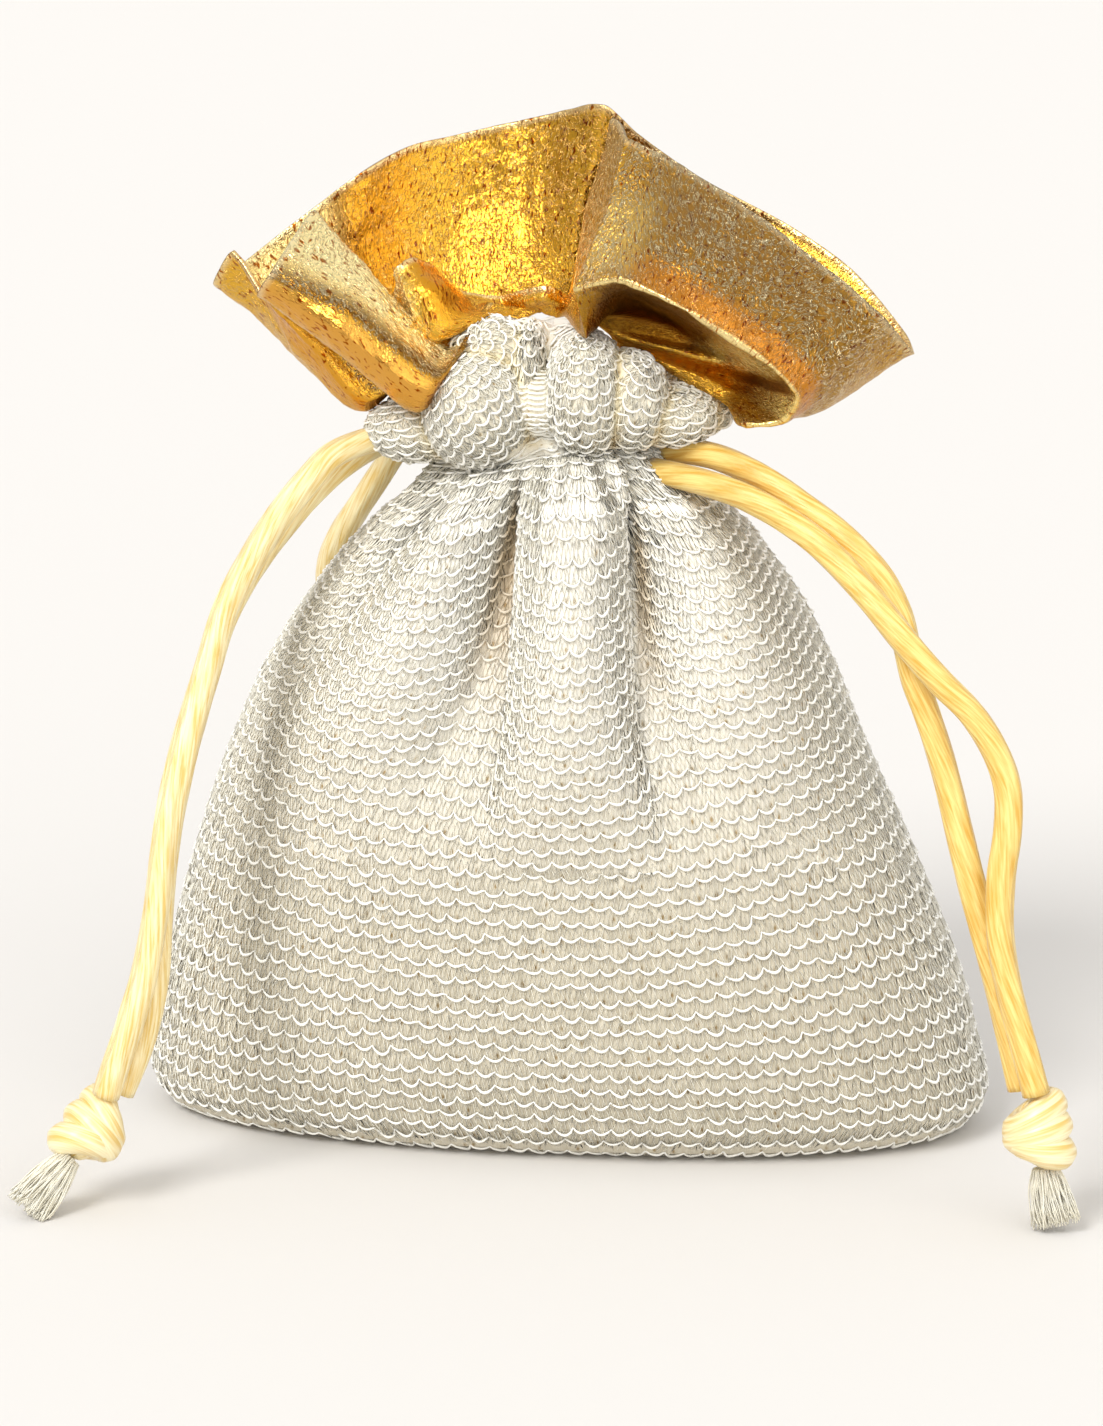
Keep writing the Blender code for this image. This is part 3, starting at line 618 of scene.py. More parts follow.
@dataclass
class PouchForm:
    """The shape that the cloth of the pouch takes, from the base to the ruffle's crown."""

    body_width: float = 111.0
    body_depth: float = 55.0
    neck_height: float = 90.5
    neck_x: float = -2.5
    neck_width: float = 30.0
    neck_depth: float = 26.5
    tilt_left: float = 0.17
    tilt_right: float = 0.02
    pleat_x: float = 2.4
    ruffle_height: float = 16.0
    squareness: float = 2.3
    evenness: tuple = (0.55, 0.45)
    side_rise: float = 9.0
    fold_lift: float = 0.55
    top_rounding: float = 7.0
    gather_count: int = 17
    gather_depth: float = 0.9
    gather_reach: float = 8.0
    core: tuple = (12.0, 8.5, 6.0)
    crease_radius: float = 4.4
    crease_width: float = 0.10
    lobe_sharpness: float = 60.0
    dish: float = 1.2
    front_lobes: int = 8
    # Painted shade in the ruffle's creases: cream between lobes, tan low at the gather
    cream: tuple = linear(250, 240, 208)
    tan: tuple = linear(216, 184, 124)
    profile: tuple = (
        (0.000, 0.905, 0.905, 0.670), (0.014, 0.966, 0.960, 0.775), (0.055, 1.000, 0.998, 0.890),
        (0.133, 0.987, 0.970, 0.975), (0.243, 0.948, 0.919, 1.000), (0.387, 0.886, 0.825, 0.982),
        (0.530, 0.811, 0.724, 0.931), (0.674, 0.717, 0.630, 0.844), (0.773, 0.627, 0.548, 0.764),
        (0.873, 0.519, 0.432, 0.655), (0.928, 0.430, 0.335, 0.595), (0.962, 0.350, 0.260, 0.525),
    )
    ruffle_top: tuple = (
        (-95, 0.46, 0.88), (-76, 0.48, 0.88), (-62, 0.54, 0.86), (-46, 0.70, 0.78),
        (-26, 0.98, 0.66), (-4, 0.98, 0.60), (14, 0.94, 0.60), (30, 0.96, 0.66),
        (50, 0.86, 0.76), (68, 0.74, 0.84), (84, 0.68, 0.86), (98, 0.64, 0.86),
        (120, 0.68, 0.86), (150, 0.82, 0.86), (185, 0.88, 0.84), (222, 0.72, 0.88),
        (265, 0.46, 0.88),
    )
    valleys: tuple = ((40, 0.0), (54, -2.6), (70, -4.4), (82, -4.2), (90.5, -3.4))
    front_ridges: tuple = (
        # Tube-like middle pleat
        Ridge(((90, 2.4, 7.4, 5.2), (72, 2.7, 7.9, 5.4), (56, 3.0, 9.0, 3.4), (40, 3.5, 12, 0.4)),
              0.55),
        # Left ridge and the smaller one beyond it
        Ridge(((90, -9.4, 5.2, 4.6), (78, -15, 8.4, 3.8), (64, -22, 12, 2.6),
               (46, -32, 15, 0.3)), 0.8),
        Ridge(((90, -16.5, 4.0, 3.0), (78, -26, 6.0, 1.6), (64, -38, 9.0, 0.6),
               (46, -46, 12, 0.1)), 0.8),
        # Right ridge
        Ridge(((90, 13.4, 5.0, 4.4), (78, 19.4, 8.2, 3.4), (64, 26, 12, 2.4),
               (46, 36, 15, 0.3)), 0.8),
    )
    back_ridges: tuple = (
        Ridge(((90, -3, 6.0, 3.4), (64, -5, 9.0, 2.2), (44, -6, 14, 0.2)), 0.8),
        Ridge(((90, -12, 5.0, 3.0), (66, -22, 9.0, 1.8), (46, -28, 14, 0.2)), 0.8),
        Ridge(((90, 8, 5.4, 3.2), (66, 13, 10, 2.2), (46, 18, 14, 0.2)), 0.8),
    )
    lobes: tuple = (
        # Front, from the left: end, large drooping lobe, the ball over it, upright strip,
        # middle, two to the right of it, end
        Lobe((-18.2, -5.6, 1.6), (7.2, 6.8, 4.2), -62, (0.2, -0.2, 1.0), 1.2),
        Lobe((-10.2, -8.8, 4.9), (8.6, 6.9, 7.8), -18, (0.2, -0.75, 0.85)),
        Lobe((-9.2, -6.2, 11.2), (5.4, 5.4, 5.5), -20, (0.9, 0.1, 0.45)),
        Lobe((-3.8, -6.4, 7.8), (5.6, 2.4, 8.2), -4, (0.3, 0.1, 1.0)),
        Lobe((3.4, -8.4, 7.0), (8.4, 5.4, 8.0), 5, (0.35, -0.1, 1.0)),
        Lobe((8.6, -7.8, 6.2), (7.0, 5.0, 6.4), 24, (0.5, 0.2, 0.8), 1.25),
        Lobe((13.8, -5.8, 4.1), (6.4, 6.0, 4.0), 48, (0.3, -0.4, 1.0), 1.25),
        Lobe((16.6, -3.6, 3.9), (4.8, 5.4, 2.6), 72, (0.1, -0.9, 0.5), 1.1),
        # Back
        Lobe((9.0, 5.6, 4.8), (7.2, 7.0, 4.4), 140),
        Lobe((-1.5, 7.6, 6.8), (7.6, 6.6, 7.2), 182),
        Lobe((-12.0, 5.6, 5.6), (7.2, 7.0, 5.6), 220),
        Lobe((-17.6, 2.6, 3.9), (5.6, 5.0, 3.0), 268),
    )

    def section(self, angle: np.ndarray) -> tuple:
        """(x, y) shares of the rounded section at angles in degrees from the front."""
        turn = np.remainder(angle + 180, 360) - 180
        front = np.abs(turn) <= 90
        from_front = np.where(front, np.abs(turn), 180 - np.abs(turn)) / 90
        even, crowded = self.evenness
        across = even * from_front + crowded * np.sin(from_front * math.pi / 2)
        along = np.maximum(1 - across**self.squareness, 0) ** (1 / self.squareness)
        return np.where(turn >= 0, 1, -1) * across, np.where(front, -along, along)

    def half_sizes(self, height: np.ndarray, across: np.ndarray) -> tuple:
        """Half the width on that side and half the depth, at a height."""
        neck = (1.0, (self.neck_width / 2 - self.neck_x) / (self.body_width / 2),
                (self.neck_width / 2 + self.neck_x) / (self.body_width / 2),
                self.neck_depth / self.body_depth)
        shares = Spline(self.profile + (neck,))(height / self.neck_height)
        width = np.where(across < 0, shares[..., 0], shares[..., 1]) * self.body_width / 2
        return width, shares[..., 2] * self.body_depth / 2

    def folds(self, x: np.ndarray, height: np.ndarray, along: np.ndarray,
              fullness: float = 1.0) -> np.ndarray:
        """Relief of the ridges and valleys on the side that each point is on.

        Args:
            x: across the bag.
            height: up the bag.
            along: share of the depth, under 0 in front.
            fullness: how much of the ridges is left over the valleys' floor.

        Returns:
            The relief in millimetres.
        """
        floor = Spline(self.valleys)(height)[..., 0]
        front, back = (np.maximum.reduce([ridge.relief(x, height, floor) for ridge in side])
                       for side in (self.front_ridges, self.back_ridges))
        ridges = np.where(along < 0, front, back)
        relief = (floor + (ridges - floor) * fullness) * np.abs(along) ** 0.8
        return np.where(height < self.valleys[0][0], 0, relief)

    def neck_at(self, x: np.ndarray) -> np.ndarray:
        """Height of the gather, which tilts up to the right."""
        away = x - self.pleat_x
        return self.neck_height + away * np.where(away < 0, self.tilt_left, self.tilt_right)

    def body(self, angle: np.ndarray, row: np.ndarray) -> np.ndarray:
        """Points on the stuffed body. Courses rise at the sides and in the valleys.

        Args:
            angle: degrees from the front.
            row: height of the course at the front, away from folds. The last rows run over
                the rounded tops of the folds, up to `last_row`.

        Returns:
            Points in millimetres.
        """
        angle, row = np.broadcast_arrays(angle, row)
        across, along = self.section(angle)
        share = np.clip(row / self.neck_height, 0, 1)
        level = row + self.side_rise * np.sin(math.pi * share) ** 1.5 * across**2
        width, _ = self.half_sizes(np.clip(level, 0, self.neck_height), across)
        pull = self.fold_lift * smoothstep(0, 14, self.neck_height - level)
        level = level - pull * self.folds(width * across, level, along)
        over = np.clip((level - self.neck_height) / self.top_rounding + 1, 0, math.pi / 2)
        height = np.maximum(np.minimum(level, self.neck_height - self.top_rounding), 0) \
            + self.top_rounding * np.sin(over)
        width, depth = self.half_sizes(height, across)
        x, y = width * across, depth * along
        out = self.folds(x, height, along, np.cos(over))
        gathers = np.exp(-(((self.neck_height - height) / self.gather_reach) ** 2))
        out = out + self.gather_depth * gathers * np.cos(self.gather_count * np.radians(angle))
        outward = unit(np.stack([x / width**2, y / depth**2, np.zeros_like(x)], axis=-1))
        tilt = (self.neck_at(x) - self.neck_height) * (height / self.neck_height) ** 4
        return np.stack([x, y, height + tilt], axis=-1) + outward * out[..., None]

    @property
    def last_row(self) -> float:
        """The row where the rounded tops of the folds end."""
        return self.neck_height + (math.pi / 2 - 1) * self.top_rounding

    def ruffle(self, angle: np.ndarray, slope: np.ndarray) -> np.ndarray:
        """Points on the ruffle: the furthest lobe on each ray from its core.

        Args:
            angle: degrees from the front.
            slope: the ray's slope in degrees, from under the lobes to over them.

        Returns:
            Points in millimetres.
        """
        angle, slope = np.broadcast_arrays(angle, slope)
        across, along = self.section(angle)
        flat = np.zeros_like(across)
        start = np.stack([self.neck_x + self.core[0] * across, self.core[1] * along,
                          flat + self.core[2]], axis=-1)
        rise = np.radians(slope)[..., None]
        direction = unit(np.stack([across, along, flat], axis=-1)) * np.cos(rise) \
            + np.array([0, 0, 1]) * np.sin(rise)
        runs = np.stack([lobe.reach(start, direction) for lobe in self.lobes]
                        + [flat + self.crease_radius])
        run = (runs**self.lobe_sharpness).sum(axis=0) ** (1 / self.lobe_sharpness)
        return start + direction * run[..., None] + np.array([0, 0, self.neck_height])

    def lobe_top(self, x: np.ndarray, y: np.ndarray) -> np.ndarray:
        """Height of the highest lobe over each point of the plan."""
        found = np.zeros_like(x)
        for lobe in self.lobes:
            away = np.stack([x - lobe.centre[0], y - lobe.centre[1], np.zeros_like(x)], axis=-1)
            inside = 1 - (lobe.local(away) ** 2).sum(axis=-1)
            top = lobe.centre[2] + lobe.sizes[2] * np.sqrt(np.maximum(inside, 0))
            found = np.where(inside > 0, np.maximum(found, top), found)
        return self.neck_height + found

    def seam_edge(self, angle: np.ndarray) -> np.ndarray:
        """Where the ruffle's cloth ends, behind its lobes and under the collar's seam."""
        across, along = self.section(angle)
        start = self.ruffle_top[0][0]
        top = Spline(self.ruffle_top)(np.remainder(angle - start, 360) + start)
        x = self.neck_x + self.core[0] * across * top[..., 1]
        y = self.core[1] * along * top[..., 1]
        height = self.neck_height + top[..., 0] * self.ruffle_height
        return np.stack([x, y, np.maximum(height, self.lobe_top(x, y))], axis=-1)

    def crown(self, angle: np.ndarray, share: np.ndarray) -> np.ndarray:
        """Points on the dished top, from the seam inwards."""
        angle, share = np.broadcast_arrays(angle, share)
        edge = self.seam_edge(angle)
        middle = np.array([self.neck_x, 0, 0])
        point = edge + (middle - edge) * (0.45 * share)[..., None]
        point[..., 2] = edge[..., 2] - self.dish * share
        return point

    def inside_seam(self, points: np.ndarray) -> np.ndarray:
        """Whether each point lies inside the seam's ring, as seen from above."""
        angle = np.linspace(-180, 180, 721)
        edge = self.seam_edge(angle)
        turn = np.arctan2(edge[:, 0] - self.neck_x, -edge[:, 1])
        order = np.argsort(turn)
        reach = np.hypot(edge[:, 0] - self.neck_x, edge[:, 1])[order]
        at = np.arctan2(points[..., 0] - self.neck_x, -points[..., 1])
        limit = np.interp(at, turn[order], reach, period=math.tau)
        return np.hypot(points[..., 0] - self.neck_x, points[..., 1]) < limit

    def nearness(self, points: np.ndarray, own: Lobe = None) -> np.ndarray:
        """Distances of each point from the lobes but its own, as shares of their sizes.

        Args:
            points: points in millimetres.
            own: the lobe to leave out.

        Returns:
            Shares for each lobe, nearest first: under 1 inside a lobe, 1 on its skin.
        """
        above = points - np.array([0, 0, self.neck_height])
        return np.sort(np.stack([
            np.linalg.norm(lobe.local(above - np.array(lobe.centre)), axis=-1)
            for lobe in self.lobes if lobe is not own]), axis=0)

    def painted_crease_shade(self, points: np.ndarray, own: Lobe = None) -> np.ndarray:
        """Painted shade: cream in the creases between lobes, tan where they meet at the gather."""
        next_lobe = self.nearness(points, own)[0 if own else 1]
        crease = np.exp(-np.maximum(next_lobe - 1, 0) / self.crease_width)
        low = smoothstep(5.5, -1.0, points[..., 2] - self.neck_at(points[..., 0]))
        cream, tan = np.array(self.cream), np.array(self.tan)
        tint = 1 + (cream - 1) * (0.9 * crease)[..., None]
        return tint + (tan - tint) * (0.75 * crease * low)[..., None]


COURSE_SAMPLES = 150
SIDE_CROWDING = 2.3


@dataclass
class Course:
    """One round of the cloth: angles and the length run along it from the front."""

    angle: np.ndarray
    run: np.ndarray

    @classmethod
    def of(cls, surface: Surface, row: float) -> "Course":
        """Measures a round.

        Args:
            surface: function of (angle, row) that gives points.
            row: the round's place on the surface.

        Returns:
            The measured round, from -180 to 180 degrees.
        """
        w = np.linspace(0, 1, COURSE_SAMPLES)
        quarter = 90 * (1 - w[::-1] ** SIDE_CROWDING)
        half = np.concatenate([quarter, 180 - quarter[::-1][1:]])
        angle = np.concatenate([-half[::-1], half[1:]])
        points = surface(angle, np.full_like(angle, row))
        run = running_length(points)
        return cls(angle, run - np.interp(0, angle, run))

    @property
    def length(self) -> float:
        """Length of the whole round."""
        return float(self.run[-1] - self.run[0])

    def angles_at(self, run: np.ndarray) -> np.ndarray:
        """Angle at each length from the front."""
        return np.interp(run, self.run, self.angle)


BODY_STEP, RUFFLE_STEP, CROWN_STEP = (0.05, 0.05), (0.2, 0.4), (0.2, 0.02)


def surface_normals(surface: Surface, angle: np.ndarray, row: np.ndarray,
                    step: tuple) -> np.ndarray:
    """Outward normals of a surface, from small steps of (angle, row) each way."""
    east = surface(angle + step[0], row) - surface(angle - step[0], row)
    north = surface(angle, row + step[1]) - surface(angle, row - step[1])
    return unit(np.cross(east, north))


@dataclass
class KnittedPouch:
    """Lining, scalloped courses and net of the pouch, body and ruffle."""

    form: PouchForm
    pitch: float = 2.0
    scallop: float = 2.45
    scallop_at_neck: float = 2.3
    first_course: float = 0.9
    yarn_radius: float = 0.19
    net_radius: float = 0.12
    dip: float = 0.34
    dip_at_neck: float = 0.38
    lobe_dip: float = 0.42
    proud: float = 0.26
    lining_inset: float = 0.22
    lining_columns: int = 400
    body_rings: int = 152
    ruffle_rings: int = 62
    crown_rings: int = 7
    ruffle_slopes: tuple = (-74.0, 94.0)
    ruffle_rows: tuple = (60.0, 11.0)
    crown_rows: tuple = (70.0, 3.0)
    crease_slopes: tuple = (-70.0, 90.0, 9.0)
    crease_proud: float = 0.6
    strip_top: float = 92.0
    strip_step: float = 0.3
    pinch_shares: tuple = (0.25, 0.75)
    seam_shares: tuple = (0.1, 0.35, 0.6, 0.85)
    round_pitch: float = 1.5
    lobe_scallop: float = 2.3
    lobe_samples: int = 181
    last_polar: float = 2.7
    droop: float = 1.4
    seen_from: float = 0.97
    bare_from: float = 1.02
    # Painted shade: a faint cream on the net, and on the lining of the ruffle
    net_shade_tint: tuple = linear(255, 252, 243)
    # Painted shade at the bottom of the valleys near the neck
    valley_shade_colour: tuple = linear(216, 184, 126)
    low_tint: tuple = linear(214, 209, 197)
    scallop_shares: tuple = (0.0, 0.14, 0.32, 0.5, 0.68, 0.86)
    seed: int = 7

    def __post_init__(self) -> None:
        """Starts the random draws."""
        self.random = np.random.default_rng(self.seed)

    def painted_valley_shade(self, points: np.ndarray, angle: np.ndarray) -> np.ndarray:
        """Painted shade: warm tan at the bottom of the valleys near the neck."""
        _, along = self.form.section(angle)
        relief = self.form.folds(points[:, 0], points[:, 2], along)
        near = smoothstep(52, 84, points[:, 2])
        deep = np.clip(-relief / 4.2, 0, 1) ** 2.2 * near
        return WHITE + (np.array(self.valley_shade_colour) - WHITE) * (0.7 * deep)[:, None]

    def lining(self, name: str) -> bpy.types.Object:
        """The lining: one skin from the base to the crown of the ruffle."""
        columns = self.lining_columns
        share = np.linspace(-0.5, 0.5, columns, endpoint=False)
        rings, tints, uvs = [], [], []
        beige = np.array(self.low_tint)

        def add_ring(surface: Surface, row: float, inset: float, step: tuple) -> tuple:
            """Adds one ring of the skin and returns its points and angles."""
            course = Course.of(surface, row)
            angle = course.angles_at(share * course.length)
            rows = np.full_like(angle, row)
            points = surface(angle, rows)
            points = points - surface_normals(surface, angle, rows, step) * inset
            points[:, 2] = np.maximum(points[:, 2], 0)
            rings.append(points)
            uvs.append(np.stack([share * course.length / self.scallop, rows], axis=1))
            return points, angle

        for row in np.linspace(0, self.form.last_row, self.body_rings):
            points, angle = add_ring(self.form.body, row, self.lining_inset * min(row / 2.0, 1),
                                     BODY_STEP)
            # Beige towards the bottom, times the painted shade in the valleys
            low = smoothstep(74, 26, points[:, 2])
            base = WHITE + (beige - WHITE) * low[:, None]
            tints.append(base * self.painted_valley_shade(points, angle))
            uvs[-1][:, 1] = (row - self.first_course) / self.pitch
        for slope in np.linspace(*self.ruffle_slopes, self.ruffle_rings):
            points, _ = add_ring(self.form.ruffle, slope, self.lining_inset, RUFFLE_STEP)
            tints.append(self.form.painted_crease_shade(points) * self.net_shade_tint)
            uvs[-1][:, 1] = self.ruffle_rows[0] + slope / self.ruffle_rows[1]
        for row in np.linspace(0, 1, self.crown_rings):
            points, _ = add_ring(self.form.crown, row, 0.0, CROWN_STEP)
            tints.append(np.ones_like(points))
            uvs[-1][:, 1] = self.crown_rows[0] + row * self.crown_rows[1]
        points = np.concatenate(rings)
        base = points[:columns].mean(axis=0) * (1, 1, 0)
        crown = points[-columns:].mean(axis=0)
        total = len(points)
        faces = [grid_faces(len(rings), columns), fan_faces(0, columns, total, False),
                 fan_faces(total - columns, columns, total + 1, True)]
        points = np.concatenate([points, base[None], crown[None]])
        uv = np.concatenate([np.concatenate(uvs), np.zeros((2, 2))])
        tint = np.concatenate([np.concatenate(tints), np.ones((2, 3))])
        return add_mesh(name, points, faces, uv, tint)

    def scallops(self, count: int) -> tuple:
        """Random shape of each scallop in a round.

        Args:
            count: how many scallops the round has.

        Returns:
            (places along the round from 0 to `count`, hang, lift, radii, wander), each flat.
        """
        shares = np.array(self.scallop_shares)
        arch = np.sin(math.pi * shares)[None]
        strength = self.random.uniform(0.7, 1.3, (count, 1))
        shift = self.random.uniform(-0.1, 0.1, (count, 1))
        places = np.arange(count)[:, None] + shares[None] + shift * arch
        wander = np.repeat(self.random.normal(0, 0.07, (count, 1)), len(shares), axis=1)
        radii = self.yarn_radius * (0.70 + 0.40 * arch * strength)
        lift = -0.12 + self.proud * arch * strength
        return (places.ravel(), (arch**0.8 * strength).ravel(), lift.ravel(), radii.ravel(),
                wander.ravel())

    def body_course(self, row: float, period: float) -> tuple:
        """Middle line of one scalloped course of the body.

        Args:
            row: the course's row on the body.
            period: width of a scallop in millimetres.

        Returns:
            (points, normals, radii, angles) along the closed path.
        """
        course = Course.of(self.form.body, row)
        count = max(int(round(course.length / period)), 8)
        places, hang, lift, radii, wander = self.scallops(count)
        angle = course.angles_at((places / count - 0.5) * course.length)
        dip = self.dip + (self.dip_at_neck - self.dip) * smoothstep(30, 75, row)
        rows = row + self.pitch * (0.3 - dip * hang + wander)
        points = self.form.body(angle, rows)
        normals = surface_normals(self.form.body, angle, rows, BODY_STEP)
        return points + normals * lift[:, None], normals, radii, angle

    def body_net(self, row: float, period: float, phase: float) -> tuple:
        """Middle line of one zigzag strand of the net between two courses."""
        course = Course.of(self.form.body, row)
        count = max(int(round(course.length / period)), 8) * 4
        index = np.arange(count)
        jitter = self.random.uniform(-0.25, 0.25, count)
        angle = course.angles_at((index + phase + jitter) / count * course.length
                                 - course.length / 2)
        reach = self.random.uniform(0.7, 1.25, count)
        rows = row + self.pitch * (0.42 + 0.55 * reach * np.where(index % 2, 1, -1))
        points = self.form.body(angle, rows)
        normals = surface_normals(self.form.body, angle, rows, BODY_STEP)
        out = np.where(index % 2, -0.14, 0.02) + self.random.uniform(-0.05, 0.08, count)
        return points + normals * out[:, None], normals, angle

    def body_yarn(self) -> list:
        """Courses and net of the body, in pieces small enough to handle."""
        rows = np.arange(self.first_course, self.form.last_row, self.pitch)
        third = -(-len(rows) // 3)
        pieces = []
        for label, block in (("lower", rows[:third]), ("middle", rows[third:2 * third]),
                             ("upper", rows[2 * third:])):
            yarn, net = Tubes(sides=4), Tubes(sides=3)
            for row in block:
                neck = smoothstep(45, 85, row)
                period = self.scallop + (self.scallop_at_neck - self.scallop) * neck
                path, normals, radii, angle = self.body_course(row, period)
                path[:, 2] = np.maximum(path[:, 2], radii)
                yarn.add(path, normals, radii, self.painted_valley_shade(path, angle), closed=True)
                for phase in (0.0, 1.0):
                    path, normals, angle = self.body_net(row, period, phase)
                    path[:, 2] = np.maximum(path[:, 2], self.net_radius)
                    net.add(path, normals, np.full(len(path), self.net_radius),
                            self.painted_valley_shade(path, angle) * self.net_shade_tint, closed=True)
            pieces += [yarn.piece(f"yarn_courses_{label}"), net.piece(f"yarn_net_{label}")]
        return pieces

    def seen(self, points: np.ndarray, own: Lobe) -> np.ndarray:
        """Whether each point of a lobe's yarn is outside the other lobes, body and crown."""
        drop = points[..., 2] - self.form.neck_at(points[..., 0])
        outside = self.form.nearness(points, own)[0] > self.seen_from
        return outside & (drop > -self.droop) & ~self.form.inside_seam(points)

    def add_runs(self, tubes: Tubes, path: np.ndarray, normals: np.ndarray, radii: np.ndarray,
                 tint: np.ndarray, seen: np.ndarray) -> None:
        """Adds the seen stretches of a closed round.

        Args:
            tubes: tubes that the stretches join.
            path: points of the round.
            normals: outward direction at each point.
            radii: radius at each point.
            tint: colour at each point.
            seen: whether each point is seen.
        """
        if seen.all():
            tubes.add(path, normals, radii, tint, closed=True)
            return
        order = np.roll(np.arange(len(seen)), -int(np.argmin(seen)))
        flags = np.concatenate([[0], seen[order].astype(int), [0]])
        edges = np.flatnonzero(np.diff(flags))
        for first, last in zip(edges[::2], edges[1::2]):
            if last - first >= 4:
                run = order[first:last]
                tubes.add(path[run], normals[run], radii[run], tint[run], capped=True)

    def strands(self, surface: Surface, row: float, yarn: Tubes, net: Tubes) -> Iterator:
        """The yarn of one round between lobes, and the finer strand that nets it.

        Args:
            surface: function of (angle, row) that gives points.
            row: the round's place on the surface.
            yarn: tubes that the yarn joins.
            net: tubes that the finer strand joins.

        Yields:
            (tubes, angles, rise in rows, lift off the surface, radii) of each strand.
        """
        course = Course.of(surface, row)
        count = max(int(course.length / self.lobe_scallop), 8)
        for tubes, fineness, thinning in ((yarn, 1, 0.9), (net, 3, 0.5)):
            places, hang, lift, radii, wander = self.scallops(count * fineness)
            angle = course.angles_at((places / (count * fineness) - 0.5) * course.length)
            yield tubes, angle, 0.5 - self.dip * hang + wander, lift, radii * thinning

    def crease_yarn(self, yarn: Tubes, net: Tubes) -> None:
        """Rounds of yarn in the creases that no lobe covers."""
        for slope in np.arange(*self.crease_slopes):
            for tubes, angle, rise, lift, radii in self.strands(self.form.ruffle, slope, yarn, net):
                slopes = slope + self.crease_slopes[2] * rise
                path = self.form.ruffle(angle, slopes)
                normals = surface_normals(self.form.ruffle, angle, slopes, RUFFLE_STEP)
                path = path + normals * (lift * self.crease_proud)[:, None]
                bare = self.form.nearness(path)[0] > self.bare_from
                self.add_runs(tubes, path, normals, radii, self.form.painted_crease_shade(path), bare)

    def strip_yarn(self, yarn: Tubes, net: Tubes) -> None:
        """Rounds of yarn on the pinch above the body, and on the strip under the seam."""
        def pinch(angle: np.ndarray, share: np.ndarray) -> np.ndarray:
            """The strip between the body's last course and the ruffle."""
            low = self.form.body(angle, np.full_like(angle, self.form.last_row))
            high = self.form.ruffle(angle, np.full_like(angle, self.ruffle_slopes[0]))
            return low + (high - low) * share[:, None]

        def seam(angle: np.ndarray, share: np.ndarray) -> np.ndarray:
            """The strip between the ruffle and the collar's seam."""
            low = self.form.ruffle(angle, np.full_like(angle, self.strip_top))
            return low + (self.form.seam_edge(angle) - low) * share[:, None]

        for strip, share in ([(pinch, share) for share in self.pinch_shares]
                             + [(seam, share) for share in self.seam_shares]):
            for tubes, angle, rise, lift, radii in self.strands(strip, share, yarn, net):
                path = strip(angle, np.clip(share + self.strip_step * rise, 0, 1))
                outward = unit((path - path.mean(axis=0)) * (1, 1, 0.2))
                path = path + outward * (lift * 0.5 + 0.12)[:, None]
                tubes.add(path, outward, radii, self.form.painted_crease_shade(path), closed=True)

    def lobe_yarn(self, lobe: Lobe, yarn: Tubes, net: Tubes) -> None:
        """Rounds of yarn on one lobe, each round its pole, and the net between them.

        Args:
            lobe: the lobe to cover.
            yarn: tubes that the rounds join.
            net: tubes that the net joins.
        """
        axes, sizes = lobe.axes(), np.array(lobe.sizes)
        middle = np.array(lobe.centre) + np.array([0, 0, self.form.neck_height])
        pole = unit(np.array(lobe.pole, float))
        east = unit(np.cross(pole, np.array([0.31, 0.95, 0.05])))
        south = np.cross(pole, east)
        size = float(sizes.mean())

        def skin(turn: np.ndarray, polar: np.ndarray) -> tuple:
            """Points and normals of the lobe at a turn round its pole and an angle from it."""
            turn, polar = turn[:, None], polar[:, None]
            shell = pole * np.cos(polar) \
                + (east * np.cos(turn) + south * np.sin(turn)) * np.sin(polar)
            return middle + (shell * sizes) @ axes, unit((shell / sizes) @ axes)

        sample = np.linspace(0, math.tau, self.lobe_samples)
        pitch = self.round_pitch / size
        for polar in np.arange(0.5 * pitch, self.last_polar, pitch):
            ring, _ = skin(sample, np.full_like(sample, polar))
            run = running_length(ring)
            count = max(int(round(run[-1] / (self.lobe_scallop * lobe.openness))), 3)
            places, hang, lift, radii, wander = self.scallops(count)
            turn = np.interp(places / count * run[-1], run, sample)
            path, normals = skin(turn, polar + pitch * (self.lobe_dip * hang + wander - 0.3))
            path = path + normals * (lift + 0.05)[:, None]
            self.add_runs(yarn, path, normals, radii * 0.92,
                          self.form.painted_crease_shade(path, lobe), self.seen(path, lobe))
            for phase in (0.0, 0.5, 1.0):
                index = np.arange(count * 4)
                jitter = self.random.uniform(-0.35, 0.35, len(index))
                turn = np.interp((index + phase + jitter) % len(index) / len(index) * run[-1],
                                 run, sample)
                reach = self.random.uniform(0.6, 1.3, len(index))
                path, normals = skin(turn, polar + pitch * (
                    0.2 + 0.6 * lobe.openness * reach * np.where(index % 2, 1, -1)))
                out = self.random.uniform(-0.15, 0.15, len(index))
                path = path + normals * out[:, None]
                self.add_runs(net, path, normals, np.full(len(path), self.net_radius * 1.05),
                              self.form.painted_crease_shade(path, lobe) * self.net_shade_tint,
                              self.seen(path, lobe))

    def ruffle_yarn(self) -> list:
        """Rounds and net of every lobe of the ruffle."""
        pieces = []
        for label, block in (("front", self.form.lobes[:self.form.front_lobes]),
                             ("back", self.form.lobes[self.form.front_lobes:])):
            yarn, net = Tubes(sides=4), Tubes(sides=3)
            for lobe in block:
                self.lobe_yarn(lobe, yarn, net)
            if label == "front":
                self.strip_yarn(yarn, net)
                self.crease_yarn(yarn, net)
            pieces += [yarn.piece(f"ruffle_rounds_{label}"), net.piece(f"ruffle_net_{label}")]
        return pieces

    def build(self) -> None:
        """Builds and dresses the pouch."""
        yarn = YarnFinish().material("white_satin_yarn")
        lining = dress(self.lining("pouch_lining"), LiningFinish().material("beige_lining"),
                       Slot.KNIT)
        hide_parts("pouch")
        for piece in self.body_yarn() + self.ruffle_yarn():
            dress(piece, yarn, Slot.KNIT)
            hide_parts("pouch")


